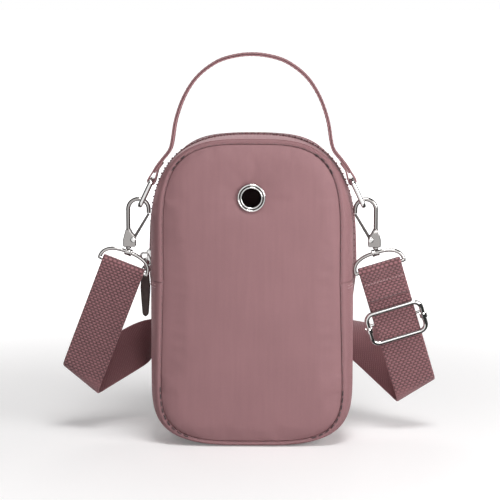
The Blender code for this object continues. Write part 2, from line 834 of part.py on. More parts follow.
def outline_solid(name, outer, holes, thickness, centre_y, finish):
    """A flat outline in X and Z with its holes, given a thickness along Y."""
    curve = bpy.data.curves.new(name, "CURVE")
    curve.dimensions = "2D"
    curve.fill_mode = "BOTH"
    curve.extrude = thickness / 2
    for line in (outer, *holes):
        spline = curve.splines.new("POLY")
        spline.points.add(len(line) - 1)
        for target, point in zip(spline.points, line):
            target.co = (point[0], point[1], 0.0, 1.0)
        spline.use_cyclic_u = True
    guide = bpy.data.objects.new(name, curve)
    bpy.context.scene.collection.objects.link(guide)
    bpy.context.view_layer.update()
    graph = bpy.context.evaluated_depsgraph_get()
    mesh = bpy.data.meshes.new_from_object(guide.evaluated_get(graph))
    bpy.data.objects.remove(guide)
    shape = bmesh.new()
    shape.from_mesh(mesh)
    bmesh.ops.remove_doubles(shape, verts=shape.verts, dist=GAP / ROUND_SIDES)
    upright = Matrix.Translation((0, centre_y, 0)) @ Matrix.Rotation(math.pi / 2, 4, "X")
    bmesh.ops.transform(shape, matrix=upright, verts=shape.verts)
    bmesh.ops.recalc_face_normals(shape, faces=shape.faces)
    shape.to_mesh(mesh)
    shape.free()
    mesh.materials.clear()
    smooth(mesh)
    return place(name, mesh, finish) if finish else mesh


def circle(x, z, radius, sides=ROUND_SIDES):
    return [
        (x + radius * math.cos(2 * math.pi * k / sides), z + radius * math.sin(2 * math.pi * k / sides))
        for k in range(sides)
    ]


def handle():
    """The flat strap handle: its ends fold round the side rings and lie double on the bag."""
    line = handle_points()
    along = [0.0]
    for a, b in zip(line, line[1:]):
        along.append(along[-1] + (b - a).length)
    total = along[-1]
    left, right = [], []
    eye = HANDLE_EYE + EYE_WALL
    for k, point in enumerate(line):
        before, after = line[max(k - 1, 0)], line[min(k + 1, len(line) - 1)]
        forward = (after - before).normalized()
        outward = Vector((-forward.z, 0, forward.x))
        gone = min(along[k], total - along[k])
        if gone < HANDLE_LAP / 2:
            share = gone / (HANDLE_LAP / 2)
            outer = inner = eye + (LAP_THICKNESS / 2 - eye) * share
        elif gone < LAP_LENGTH:
            outer = inner = LAP_THICKNESS / 2
        else:
            inner = HANDLE_THICKNESS / 2
            fade = min((gone - LAP_LENGTH) / HANDLE_LAP, 1.0)
            outer = LAP_THICKNESS / 2 + (inner - LAP_THICKNESS / 2) * fade
        left.append((point.x + outward.x * outer, point.z + outward.z * outer))
        right.append((point.x - outward.x * inner, point.z - outward.z * inner))

    def end_arc(end, toward):
        """The round end of the strap where it goes round the ring."""
        heading = (end - toward).normalized()
        start_angle = math.atan2(heading.z, heading.x)
        made = []
        for k in range(1, 8):
            angle = start_angle + math.pi / 2 - math.pi * k / 8
            made.append((end.x + eye * math.cos(angle), end.z + eye * math.sin(angle)))
        return made

    outer_line = left + end_arc(line[-1], line[-2]) + right[::-1] + end_arc(line[0], line[1])
    holes = [circle(side * RING_TOP_OUT, RING_TOP_HEIGHT, HANDLE_EYE) for side in (-1, 1)]
    return outline_solid("handle", outer_line, holes, HANDLE_WIDTH, HANDLE_PLACE, nylon())


def side_ring(name, side):
    """A rectangular wire ring: its top bar in the handle's end, its foot bar in the hook."""
    top = Vector((side * RING_TOP_OUT, HANDLE_PLACE, RING_TOP_HEIGHT))
    low = Vector((side * RING_FOOT_OUT, HANDLE_PLACE, RING_FOOT_HEIGHT))
    middle, upward = (top + low) / 2, (top - low).normalized()
    half = (top - low).length / 2
    points = [
        middle + Vector((0, y, 0)) + upward * z
        for y, z in rounded_loop(RING_WIDTH / 2, half, RING_CORNER - RING_WIRE)
    ]
    return wire(name, points, RING_WIRE, nickel(), closed=True)


def hook(name, side):
    """A trigger hook: a base block, a spine and a bow that ends at its nose."""
    place_y = HANDLE_PLACE
    spine = [
        Vector((side * SPINE_OUT, place_y, BASE_HIGH - HOOK_WIRE)),
        Vector((side * SPINE_OUT, place_y, (BASE_HIGH + BOW_HEIGHT) / 2)),
    ]
    for k in range(13):
        angle = math.pi * k / 12
        spine.append(
            Vector(
                (
                    side * (BOW_OUT + BOW_RADIUS * math.cos(angle)),
                    place_y,
                    BOW_HEIGHT + BOW_RADIUS * math.sin(angle),
                )
            )
        )
    spine.append(Vector((side * (BOW_OUT - BOW_RADIUS), place_y, NOSE_FOOT)))
    made = wire(name, spine, HOOK_WIRE, nickel())
    xs = sorted((side * BASE_INNER, side * BASE_OUTER))
    base = block(
        name + "_base",
        (xs[0], place_y - BASE_HALF, BASE_LOW),
        (xs[1], place_y + BASE_HALF, BASE_HIGH),
        HOOK_WIRE / 2,
    )
    cut(made, cutter(name + "_base", base), "UNION")
    slot_half = GATE_WIDTH / 2 + GAP
    xs = sorted((side * (BASE_INNER - OVERRUN), side * SLOT_END))
    slot = block(
        name + "_slot",
        (xs[0], place_y - slot_half, BASE_LOW - OVERRUN),
        (xs[1], place_y + slot_half, BASE_HIGH + OVERRUN),
    )
    cut(made, cutter(name + "_slot", slot))
    pin = cylinder(
        name + "_pin_hole",
        GATE_PIN + GAP,
        BASE_HALF * 4,
        (side * PIN_OUT, place_y, PIN_HEIGHT),
        (0, 1, 0),
    )
    cut(made, cutter(name + "_pin_hole", pin))
    shank_top = BASE_LOW + POST_SHANK
    bore = cylinder(
        name + "_bore",
        SWIVEL_POST + GAP,
        OVERRUN,
        (side * SWIVEL_OUT, place_y, BASE_LOW),
        (0, 0, 1),
    )
    cut(made, cutter(name + "_bore", bore))
    room = cylinder(
        name + "_room",
        SWIVEL_POST + HEAD_WIDER + GAP,
        POST_HEAD + GAP * 2,
        (side * SWIVEL_OUT, place_y, shank_top + (POST_HEAD + GAP * 2) / 2),
        (0, 0, 1),
    )
    cut(made, cutter(name + "_room", room))
    smooth(made.data)
    return made


def gate(name, side):
    """The hook's sprung gate: a flat lever from its pin to the nose."""
    foot_point = Vector((PIN_OUT, 0, PIN_HEIGHT))
    tip = Vector((BOW_OUT - BOW_RADIUS, 0, NOSE_FOOT - GAP - GATE_THICKNESS / 4))
    along = (tip - foot_point).normalized()
    across = Vector((-along.z, 0, along.x))
    thin = GATE_THICKNESS / 2
    start_angle = math.atan2(across.z, across.x)
    outline = []
    turn = math.asin(thin / GATE_EYE)
    for k in range(17):
        angle = start_angle + turn + (2 * math.pi - math.pi - 2 * turn) * k / 16
        outline.append(
            (
                foot_point.x + GATE_EYE * math.cos(angle),
                foot_point.z + GATE_EYE * math.sin(angle),
            )
        )
    low = foot_point + along * GATE_EYE
    outline = [(p[0], p[1]) for p in outline]
    for point in (low - across * thin, tip - across * thin, tip + across * thin, low + across * thin):
        outline.append((point.x, point.z))
    outline = [(side * x, z) for x, z in outline]
    hole = circle(side * PIN_OUT, PIN_HEIGHT, GATE_PIN + GAP)
    return outline_solid(name, outline, [hole], GATE_WIDTH, HANDLE_PLACE, nickel())


def gate_pin(name, side):
    """The rivet that the gate turns on."""
    mesh = cylinder(
        name,
        GATE_PIN,
        BASE_HALF * 2,
        (side * PIN_OUT, HANDLE_PLACE, PIN_HEIGHT),
        (0, 1, 0),
    )
    return place(name, mesh, nickel())


def ring_axes(side, tilt):
    """A strap ring's eye, and the two directions of its plane: along its bar, outward, and up."""
    angle = math.radians(tilt)
    along = Vector((side * math.cos(angle), 0, math.sin(angle)))
    upward = Vector((-side * math.sin(angle), 0, math.cos(angle)))
    eye_at = Vector((side * SWIVEL_OUT, HANDLE_PLACE, RING_EYE_HEIGHT))
    return eye_at, along, upward


def swivel(name, side, tilt):
    """The swivel: a bead on the strap ring's wire, with the headed post that the hook turns on."""
    eye_at, along, upward = ring_axes(side, tilt)
    radius = D_WIRE + BEAD_ROOM + BEAD_WALL
    bead = place(name, cylinder(name, radius, BEAD_LENGTH, eye_at, along), nickel())
    head_low = BASE_LOW + POST_SHANK + GAP
    post = cylinder(
        name + "_post",
        SWIVEL_POST,
        head_low + POST_HEAD / 2 - (RING_EYE_HEIGHT + radius / 2),
        (eye_at.x, eye_at.y, (head_low + POST_HEAD / 2 + RING_EYE_HEIGHT + radius / 2) / 2),
        (0, 0, 1),
    )
    cut(bead, cutter(name + "_post", post), "UNION")
    head = cylinder(
        name + "_head",
        SWIVEL_POST + HEAD_WIDER,
        POST_HEAD,
        (eye_at.x, eye_at.y, head_low + POST_HEAD / 2),
        (0, 0, 1),
    )
    cut(bead, cutter(name + "_head", head), "UNION")
    bore = cylinder(name + "_eye", D_WIRE + BEAD_ROOM, BEAD_LENGTH * 2, eye_at, along)
    cut(bead, cutter(name + "_eye", bore))
    smooth(bead.data)
    return bead


def strap_ring(name, side, tilt):
    """A D-ring: a straight bar in the webbing's fold and a low arch through the swivel."""
    eye_at, along, upward = ring_axes(side, tilt)
    middle = eye_at - upward * D_RISE
    points = []
    for k in range(33):
        angle = math.pi * k / 32
        x = D_HALF * math.copysign(abs(math.cos(angle)) ** (2 / D_EXPONENT), math.cos(angle))
        points.append(middle + along * x + upward * (D_RISE * math.sin(angle) ** (2 / D_EXPONENT)))
    return wire(name, points, D_WIRE, nickel(), closed=True)


def frame_of(origin, along, across):
    """A local frame: along the strap, across it, and its outward normal."""
    t = along.normalized()
    b = (across - t * across.dot(t)).normalized()
    n = t.cross(b)
    return Matrix(
        (
            (t.x, b.x, n.x, origin.x),
            (t.y, b.y, n.y, origin.y),
            (t.z, b.z, n.z, origin.z),
            (0, 0, 0, 1),
        )
    )


def fold_step(fold):
    """The motion that a finished fold gives to all of the strap beyond it."""
    at, slant, radius, angle = fold
    e = Vector((math.cos(slant), math.sin(slant), 0))
    a = Vector((-math.sin(slant), math.cos(slant), 0))
    sign, bend = math.copysign(1, angle), abs(angle)
    lift = Vector((0, 0, sign * radius * (1 - math.cos(bend))))
    root = Vector((at, 0, 0))
    return (
        Matrix.Translation(root + e * (radius * math.sin(bend)) + lift)
        @ Matrix.Rotation(-sign * bend, 4, a)
        @ Matrix.Translation(-(root + e * (radius * bend)))
    )


def folded(frame, folds, s, w, h):
    """A point of the strap, measured along it, across it and off its middle, where the folds put it."""
    m = frame
    for fold in folds:
        at, slant, radius, angle = fold
        e = Vector((math.cos(slant), math.sin(slant), 0))
        a = Vector((-math.sin(slant), math.cos(slant), 0))
        rel = Vector((s - at, w, 0))
        reach, across = rel.dot(e), rel.dot(a)
        if reach <= 0:
            return m @ Vector((s, w, h))
        sign, bend = math.copysign(1, angle), abs(angle)
        if reach < radius * bend:
            turn = reach / radius
            inner = radius - sign * h
            lift = Vector((0, 0, sign * (radius - inner * math.cos(turn))))
            return m @ (Vector((at, 0, 0)) + a * across + e * (inner * math.sin(turn)) + lift)
        m = m @ fold_step(fold)
    return m @ Vector((s, w, h))


def fold_toward(frame, heading):
    """The slant and the angle of the fold that sends the strap off along a heading."""
    t, b, n = (frame.to_3x3().col[i].normalized() for i in range(3))
    slant = math.atan(-b.dot(heading) / (1 - t.dot(heading)))
    e = t * math.cos(slant) + b * math.sin(slant)
    return slant, math.atan2(heading.dot(n), heading.dot(e))


def strap_side(side, tilt, fall, flap_behind):
    """One end of the strap: its frame, its folds, and how far along it the exact part goes."""
    eye_at, along, upward = ring_axes(side, tilt)
    bar = eye_at - upward * D_RISE
    lean, flare_angle = math.radians(LEAN), math.radians(FLAP_FLARE)
    down = -upward * math.cos(lean) + Vector((0, 1, 0)) * math.sin(lean)
    across = along * side
    front = down.cross(across)
    which = 1.0 if flap_behind else -1.0
    layers = WEB_THICKNESS + GAP
    slope = (
        WRAP * (1 + math.cos(flare_angle)) - FLAP_BEND * (1 - math.cos(flare_angle)) - layers
    ) / math.sin(flare_angle)
    flat = FLAP_LENGTH - slope
    over = math.pi + flare_angle
    bend = (flat, 0.0, FLAP_BEND, which * flare_angle)
    wrap_at = flat + FLAP_BEND * flare_angle + slope
    wrap = (wrap_at, 0.0, WRAP, -which * over)
    band_at = wrap_at + WRAP * over
    band_frame = frame_of(bar + front * WRAP * which, down, across)
    steps = fold_step(bend) @ fold_step(wrap) @ Matrix.Translation((band_at, 0, 0))
    frame = band_frame @ steps.inverted()
    lead = RIGHT_HEADING if side > 0 else LEFT_HEADING
    heading = Vector((-side * lead.x, lead.y, lead.z))
    slant, angle = fold_toward(band_frame, heading)
    fold_at = band_at + fall - FOLD_RADIUS * abs(angle) / math.cos(slant) / 2
    fold = (fold_at, slant, FOLD_RADIUS, angle)
    finish = fold_at + FOLD_RADIUS * abs(angle) / math.cos(slant) + LEAD_START
    return frame, [bend, wrap, fold], band_frame, band_at, finish


def web_ring(centre, along, across):
    """The outline of the webbing where it crosses a point, as many points as an exact one has."""
    t = along.normalized()
    b = (across - t * across.dot(t)).normalized()
    n = t.cross(b)
    ring = []
    for h, order in ((WEB_THICKNESS / 2, 1), (-WEB_THICKNESS / 2, -1)):
        for k in range(WEB_ACROSS + 1)[::order]:
            ring.append(centre + b * (WEB_WIDTH * (k / WEB_ACROSS - 0.5)) + n * h)
    return ring


def exact_rings(frame, folds, finish):
    """Rings along the folded part of a strap's end, closer together where it bends."""
    stations = [0.0, finish]
    for at, slant, radius, angle in folds:
        side_reach = WEB_WIDTH / 2 * abs(math.tan(slant))
        low = at - side_reach
        high = at + radius * abs(angle) / math.cos(slant) + side_reach
        count = max(3, round((high - low) / radius * FOLD_FINENESS))
        stations += [low + (high - low) * k / count for k in range(count + 1)]
    stations = sorted(s for s in stations if 0.0 <= s <= finish)
    rings = []
    for s in stations:
        ring = []
        for h, order in ((WEB_THICKNESS / 2, 1), (-WEB_THICKNESS / 2, -1)):
            for k in range(WEB_ACROSS + 1)[::order]:
                ring.append(folded(frame, folds, s, WEB_WIDTH * (k / WEB_ACROSS - 0.5), h))
        rings.append(ring)
    return rings


def hank_edge():
    """How far out the outermost run of the hank stands."""
    return HANK_RADIUS * (HANK_RUNS - 1)


def lead_line(side, frame, folds, finish):
    """The strap's middle from its folded end to the top of the hank's outer run, with its headings."""
    end = folded(frame, folds, finish, 0.0, 0.0)
    ahead = (end - folded(frame, folds, finish - STEP, 0.0, 0.0)).normalized()
    beside = (folded(frame, folds, finish, WEB_WIDTH / 2, 0.0) - end).normalized()
    lead = RIGHT_HEADING if side > 0 else LEFT_HEADING
    rise = math.radians(RIGHT_ENTRY if side > 0 else LEFT_ENTRY)
    edge = hank_edge()
    centre_out = edge + HANK_TURN
    start_out = centre_out + HANK_TURN * math.sin(rise)
    run = abs(end.x) - start_out
    start_z = end.z + run * (math.tan(rise) + lead.z / lead.x) / 2
    centre_z = start_z - HANK_TURN * math.cos(rise)
    goal = Vector((side * start_out, HANK_PLACE, start_z))
    heading = Vector((-side * math.cos(rise), 0, math.sin(rise)))
    span = (goal - end).length
    line = []
    for k in range(LEAD_STEPS + 1):
        u = k / LEAD_STEPS
        a = 2 * u**3 - 3 * u**2 + 1
        b = u**3 - 2 * u**2 + u
        c = -2 * u**3 + 3 * u**2
        d = u**3 - u**2
        line.append(end * a + ahead * (b * span) + goal * c + heading * (d * span))
    turn = math.pi / 2 + rise
    for k in range(1, 9):
        angle = math.pi / 2 + rise - turn * k / 8
        line.append(
            Vector(
                (
                    side * (centre_out - HANK_TURN * math.cos(angle)),
                    HANK_PLACE,
                    centre_z + HANK_TURN * math.sin(angle),
                )
            )
        )
    return line, beside


def length_of(line):
    return sum((b - a).length for a, b in zip(line, line[1:]))


def lead_rings(line, beside):
    """Rings along a lead, which turns a quarter about its own middle as it goes."""
    rings = []
    for k, point in enumerate(line):
        before, after = line[max(k - 1, 0)], line[min(k + 1, len(line) - 1)]
        along = (after - before).normalized()
        share = min(k / LEAD_STEPS, 1.0)
        share = share * share * (3 - 2 * share)
        start_across = (beside - along * beside.dot(along)).normalized()
        end_across = Vector((0, 1, 0))
        end_across = (end_across - along * end_across.dot(along)).normalized()
        across = start_across * math.cos(share * math.pi / 2) + end_across * math.sin(share * math.pi / 2)
        rings.append(web_ring(point, along, across))
    return rings


def strap():
    """The webbing: a folded end on each side and the spare length in an upright hank behind the bag."""
    ends = {}
    used = 0.0
    for side, tilt, fall, behind in (
        (-1, LEFT_RING_TILT, LEFT_FALL, True),
        (1, RIGHT_RING_TILT, RIGHT_FALL, False),
    ):
        frame, folds, band_frame, band_at, finish = strap_side(side, tilt, fall, behind)
        line, beside = lead_line(side, frame, folds, finish)
        line.append(Vector((line[-1].x, line[-1].y, line[-1].z - STEP)))
        rings = exact_rings(frame, folds, finish)[:-1] + lead_rings(line, beside)
        name = "strap_left" if side < 0 else "strap_right"
        mesh = loft(name, rings)
        smooth(mesh, 50)
        place(name, mesh, webbing())
        used += finish + length_of(line)
        ends[side] = (line[-1].z - GAP, band_frame)
    turns = math.pi * HANK_RADIUS * (HANK_RUNS - 1)
    low = HANK_RADIUS + WEB_THICKNESS / 2
    outer = sum(ends[side][0] - low for side in (-1, 1))
    tall = (STRAP_LENGTH - used - turns - outer - GAP * 2) / (HANK_RUNS - 2)
    middle = []
    for run in range(HANK_RUNS):
        x = -hank_edge() + run * HANK_RADIUS * 2
        top = ends[-1][0] if run == 0 else (ends[1][0] if run == HANK_RUNS - 1 else low + tall)
        heights = (top, low) if run % 2 == 0 else (low, top)
        middle += [Vector((x, HANK_PLACE, z)) for z in heights]
        if run == HANK_RUNS - 1:
            break
        turn_z = heights[1]
        sign = -1 if run % 2 == 0 else 1
        for k in range(1, TURN_STEPS):
            angle = math.pi * (1 - k / TURN_STEPS)
            middle.append(
                Vector(
                    (
                        x + HANK_RADIUS + HANK_RADIUS * math.cos(angle),
                        HANK_PLACE,
                        turn_z + sign * HANK_RADIUS * math.sin(angle),
                    )
                )
            )
    rings = []
    for k, point in enumerate(middle):
        before, after = middle[max(k - 1, 0)], middle[min(k + 1, len(middle) - 1)]
        along = (after - before).normalized()
        if k and k + 1 < len(middle):
            along = ((point - before).normalized() + (after - point).normalized()).normalized()
        side = Vector((-along.z, 0, along.x))
        half = Vector((0, WEB_WIDTH / 2, 0))
        thin = side * (WEB_THICKNESS / 2)
        rings.append([point - half - thin, point + half - thin, point + half + thin, point - half + thin])
    mesh = loft("strap_hank", rings)
    smooth(mesh)
    place("strap_hank", mesh, webbing())
    fine = spread(middle, 600)
    pitch = length_of(middle) / 600
    apart = round(HANK_RADIUS * math.pi / pitch) + 1
    least = min(
        (a - b).length for i, a in enumerate(fine) for b in fine[i + apart :]
    )
    print("strap length", round((used + length_of(middle) + GAP * 2) / MM, 1), "mm")
    print("hank height", round((low * 2 + tall) / MM, 1), "mm, least gap", round((least - WEB_THICKNESS) / MM, 2), "mm")
    return ends[1][1]


def strap_tie():
    """The band that holds the hank's runs together."""
    reach = hank_edge() + WEB_THICKNESS / 2 + GAP
    deep = WEB_WIDTH / 2 + GAP
    rings = []
    for out, high in (
        (0.0, TIE_HEIGHT),
        (TIE_WALL, TIE_HEIGHT),
        (TIE_WALL, TIE_HEIGHT + TIE_WIDTH),
        (0.0, TIE_HEIGHT + TIE_WIDTH),
    ):
        loop = rounded_loop(reach + out, deep + out, TIE_WALL + out, CURVE_STEPS // 2)
        rings.append([Vector((x, HANK_PLACE + y, high)) for x, y in loop])
    mesh = loft("strap_tie", rings, capped=False, closed_along=True)
    smooth(mesh)
    return place("strap_tie", mesh, webbing())


def adjuster(band_frame):
    """The strap's slider: a wire frame before the webbing and a bar behind it, with the sewn tab."""
    front = WEB_THICKNESS / 2 + GAP + ADJUSTER_WIRE
    wide = ADJUSTER_WIDTH / 2
    points = [
        band_frame @ Vector((ADJUSTER_PLACE + t, b, front))
        for b, t in rounded_loop(wide, ADJUSTER_LENGTH / 2, ADJUSTER_CORNER)
    ]
    wire("strap_slider_frame", points, ADJUSTER_WIRE, nickel(), closed=True)
    back = -(WEB_THICKNESS / 2 + GAP + WEB_THICKNESS + GAP + ADJUSTER_BAR)
    eye_room = ADJUSTER_WIRE + GAP
    path = [
        Vector((ADJUSTER_PLACE, -wide, front - eye_room - CURL_WALL / 2)),
        Vector((ADJUSTER_PLACE, -wide, back + BAR_BEND)),
        Vector((ADJUSTER_PLACE, -wide + BAR_BEND, back)),
        Vector((ADJUSTER_PLACE, wide - BAR_BEND, back)),
        Vector((ADJUSTER_PLACE, wide, back + BAR_BEND)),
        Vector((ADJUSTER_PLACE, wide, front - eye_room - CURL_WALL / 2)),
    ]
    bar = wire("strap_slider_bar", [band_frame @ p for p in path], BAR_WIRE, nickel())
    along = (band_frame.to_3x3() @ Vector((1, 0, 0))).normalized()
    for side in (-1, 1):
        centre = band_frame @ Vector((ADJUSTER_PLACE, side * wide, front))
        bead = cylinder("curl", eye_room + CURL_WALL, CURL_LENGTH, centre, along)
        cut(bar, cutter("curl", bead), "UNION")
    for side in (-1, 1):
        centre = band_frame @ Vector((ADJUSTER_PLACE, side * wide, front))
        bore = cylinder("curl_bore", eye_room, ADJUSTER_LENGTH, centre, along)
        cut(bar, cutter("curl_bore", bore))
    smooth(bar.data)
    outer = ADJUSTER_BAR + GAP + WEB_THICKNESS
    near = back + outer
    outline = []
    for k in range(13):
        angle = math.pi / 2 + math.pi * k / 12
        outline.append((ADJUSTER_PLACE + outer * math.cos(angle), back + outer * math.sin(angle)))
    thick = WEB_THICKNESS * 2
    length = FLAP_LENGTH
    outline += [
        (ADJUSTER_PLACE + outer * NECK_SHARES[0][0], back + outer * NECK_SHARES[0][1]),
        (ADJUSTER_PLACE + outer * NECK_SHARES[1][0], near - thick),
        (ADJUSTER_PLACE + length, near - thick),
        (ADJUSTER_PLACE + length, near),
    ]
    hole = circle(ADJUSTER_PLACE, back, ADJUSTER_BAR + GAP)
    tab = outline_solid("strap_slider_tab", outline, [hole], WEB_WIDTH, 0.0, webbing())
    tab.data.transform(band_frame)


def build():
    start()
    front_panel()
    panel("back_panel", 1)
    band("front_band", -1)
    band("back_band", 1)
    lower_gusset()
    lining()
    eyelet()
    zip_tape("zip_tape_front", -1)
    zip_tape("zip_tape_back", 1)
    zip_chain()
    zip_slider()
    zip_link()
    zip_tab()
    handle()
    for side, word, tilt in ((-1, "left", LEFT_RING_TILT), (1, "right", RIGHT_RING_TILT)):
        side_ring("side_ring_" + word, side)
        hook("hook_" + word, side)
        gate("hook_gate_" + word, side)
        gate_pin("hook_pin_" + word, side)
        swivel("hook_swivel_" + word, side, tilt)
        strap_ring("strap_ring_" + word, side, tilt)
    adjuster(strap())
    strap_tie()


build()
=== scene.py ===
"""Dresses a small crossbody bag: its padded cloth, zip, metal fittings and long webbing strap."""

import math
from bisect import bisect_left

import bmesh
import bpy
from mathutils import Matrix, Vector


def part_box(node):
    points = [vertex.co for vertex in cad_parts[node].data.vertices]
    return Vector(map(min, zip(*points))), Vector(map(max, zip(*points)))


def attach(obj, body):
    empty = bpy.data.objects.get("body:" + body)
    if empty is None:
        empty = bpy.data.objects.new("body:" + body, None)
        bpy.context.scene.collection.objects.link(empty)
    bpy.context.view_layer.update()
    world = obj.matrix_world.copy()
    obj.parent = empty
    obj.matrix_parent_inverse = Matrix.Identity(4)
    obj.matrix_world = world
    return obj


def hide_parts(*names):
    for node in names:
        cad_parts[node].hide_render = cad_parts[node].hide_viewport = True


bl_info = {
    "name": "Crossbody Bag Dresser",
    "version": (1, 0, 0),
    "blender": (4, 5, 0),
    "location": "3D View > Sidebar > Bag",
    "description": "Builds the cloth, webbing and metal of a small crossbody bag",
    "category": "Object",
}

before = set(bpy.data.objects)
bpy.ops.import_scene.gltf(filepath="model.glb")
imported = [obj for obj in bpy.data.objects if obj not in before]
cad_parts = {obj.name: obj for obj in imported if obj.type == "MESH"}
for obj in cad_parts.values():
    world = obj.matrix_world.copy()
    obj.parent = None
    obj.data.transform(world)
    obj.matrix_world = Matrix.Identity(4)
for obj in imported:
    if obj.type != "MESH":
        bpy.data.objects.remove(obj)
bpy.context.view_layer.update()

MM = 0.001
BODY = "bag"
RIGHT, BACKWARD, UP = Vector((1, 0, 0)), Vector((0, 1, 0)), Vector((0, 0, 1))
FACES = ((-1, "front"), (1, "back"))
SIDES = ((-1, "left"), (1, "right"))

# The bag's outline and section, as the solids have them.
HALF_WIDTH, HEIGHT, HALF_DEPTH = 59.5 * MM, 180.0 * MM, 27.0 * MM
MIDDLE = Vector((0, 0, HEIGHT / 2))
ARCH_HEIGHT, ARCH_EXPONENT = 62.0 * MM, 2.7
FOOT_HEIGHT, FOOT_EXPONENT, FOOT_FLAT = 40.0 * MM, 3.6, 0.5 * MM
PANEL_EXPONENT = 3.4
SIDE_INSET, TOP_INSET, FOOT_INSET, LIP = 6.9 * MM, 2.6 * MM, 2.2 * MM, 1.2 * MM
SEAM_HEIGHT = 96.0 * MM
ZIP_HALF, ZIP_PROUD = 6.0 * MM, 0.6 * MM
PANEL_BACK = HALF_DEPTH - 1.8 * MM
EYELET_Z, EYELET_HOLE = HEIGHT - 34.7 * MM, 6.7 * MM
OUTLINE_STEPS = 360

# The handle, its rings and the hooks stand in one plane. Their places are in mm, as x and z.
FRONT_Y = -16.0 * MM
HANDLE_LINE = (
    (57.2, 154.1), (54.0, 160.6), (49.7, 166.2), (47.0, 170.4), (45.4, 176.0), (43.2, 188.9),
    (38.3, 202.3), (30.8, 213.4), (20.2, 221.4), (10.0, 224.8), (0.0, 225.85),
)
RING_TOP, RING_LOW = (57.2, 154.1), (64.0, 139.8)
HOOK_X, HOOK_CROWN, CROWN_RADIUS, HOOK_NOSE = 71.2, (65.3, 137.1), 5.9, (59.4, 134.9)
RIVET, GATE_TIP = (68.3, 119.6), (59.4, 134.35)
GATE_HEEL_RADIUS, GATE_HALF, TIP_HALF = 1.65, 0.85, 0.7
HOOK_BASE = (
    (66.8, 116.0), (67.4, 115.4), (73.6, 115.4), (74.2, 116.0), (74.2, 119.6), (73.3, 123.0),
    (72.6, 125.6), (69.9, 125.6), (68.6, 123.0), (67.0, 121.3), (66.8, 120.6),
)

# Turned collars: how far along the axis and how wide, in mm.
BEAD = (
    (-2.1, 1.5), (-2.1, 1.95), (-1.85, 2.18), (-1.2, 2.2), (-0.9, 2.05),
    (0.9, 2.05), (1.2, 2.2), (1.85, 2.18), (2.1, 1.95), (2.1, 1.5),
)
CURL = ((-1.5, 1.48), (-1.5, 2.05), (-1.3, 2.25), (1.3, 2.25), (1.5, 2.05), (1.5, 1.48))
# The swivel's post, its head and its collar: radius, height, middle and rim, in mm.
POST = ((1.1, 2.9, 115.55, 0.1), (1.68, 0.95, 117.2, 0.2), (1.65, 0.7, 114.7, 0.2))

# The strap's folds, as the solids have them. -1 is the left side and 1 the right.
WEB_WIDTH, WEB_THICKNESS = 25.4 * MM, 1.4 * MM
RING_EYE = Vector((71.2 * MM, FRONT_Y, 112.1 * MM))
RING_RISE, RING_HALF, RING_WIRE = 8.8 * MM, 14.6 * MM, 1.1 * MM
TILTS = {-1: 21.5, 1: 17.0}
FALLS = {-1: 82.0 * MM, 1: 88.5 * MM}
WRAP = 2.1 * MM
FLAP, FLAP_BEND, FLAP_FLARE = 19.0 * MM, 3.0 * MM, 15.0
LEAN, FOLD_RADIUS, LEAD_START = 15.0, 7.0 * MM, 26.0 * MM
LEADS = {
    -1: Vector((0.82, 0.33, 0.46)).normalized(),
    1: Vector((0.71, 0.33, 0.62)).normalized(),
}
ENTRIES = {-1: 4.0, 1: 18.0}
LEAD_STEPS = 28
RUNS, RUN_RADIUS, RUN_PLACE, RUN_TURN = 8, 4.7 * MM, 46.0 * MM, 8.0 * MM
STRAP_LENGTH = 1200.0 * MM
ADJUSTER_PLACE = 37.0 * MM
TIE_HEIGHT = 30.5 * MM

# The camera's view and the lamps: name, size, power, place and what each looks at.
CAMERA_TARGET = Vector((-0.00135, 0, 0.1112))
SENSOR, PIXELS, PIXEL_SIZE, LENS_DISTANCE = 36.0, 500, 0.585 * MM, 1.1
LAMPS = (
    ("front_light", (0.4, 0.3), 0.9, (0.2, -1.2, 0.34), (0, 0, 0.1)),
    ("top_light", (0.45, 0.35), 7.2, (0.14, -0.6, 1.08), (0, 0, 0.05)),
    ("right_light", (0.3, 0.3), 2.4, (0.5, -0.42, 0.3), (0, 0, 0.11)),
    ("back_light", (1.2, 0.8), 7.0, (-0.35, 1.4, 0.9), (0, 0, 0.1)),
)
# What polished metal sees round it, by how far behind the bag it looks: white, with the dark of
# the room between.
STUDIO = ((0.0, 1.0), (0.1, 1.0), (0.15, 0.03), (0.64, 0.05), (0.72, 0.8), (1.0, 1.0))


def give(target, settings):
    """Sets several of a thing's properties, in their order."""
    for key, value in settings.items():
        setattr(target, key, value)
    return target


def only(obj):
    """Selects this object alone and makes it the active one."""
    if bpy.context.mode != "OBJECT":
        bpy.ops.object.mode_set(mode="OBJECT")
    bpy.ops.object.select_all(action="DESELECT")
    obj.select_set(True)
    bpy.context.view_layer.objects.active = obj
    return obj


def added(name, operator, **settings):
    """What an operator adds, alone in the selection."""
    bpy.ops.object.select_all(action="DESELECT")
    operator(**settings)
    bpy.context.object.name = name
    return bpy.context.object


def placed(name, data):
    """An object for this mesh, lamp or camera."""
    obj = bpy.data.objects.new(name, data)
    bpy.context.scene.collection.objects.link(obj)
    return obj


def apply(obj, modifier):
    only(obj)
    bpy.ops.object.modifier_apply(modifier=modifier.name)
    return obj


def finished_with(obj, kind, **settings):
    """Adds one modifier with these settings and applies it."""
    return apply(obj, give(obj.modifiers.new(kind.lower(), kind), settings))


def settle(obj):
    """Puts the object's place into its mesh."""
    only(obj)
    bpy.ops.object.transform_apply(location=True, rotation=True, scale=True)
    return obj


def soft_shade(obj, angle=40.0):
    only(obj)
    bpy.ops.object.shade_smooth_by_angle(angle=math.radians(angle))
    return obj


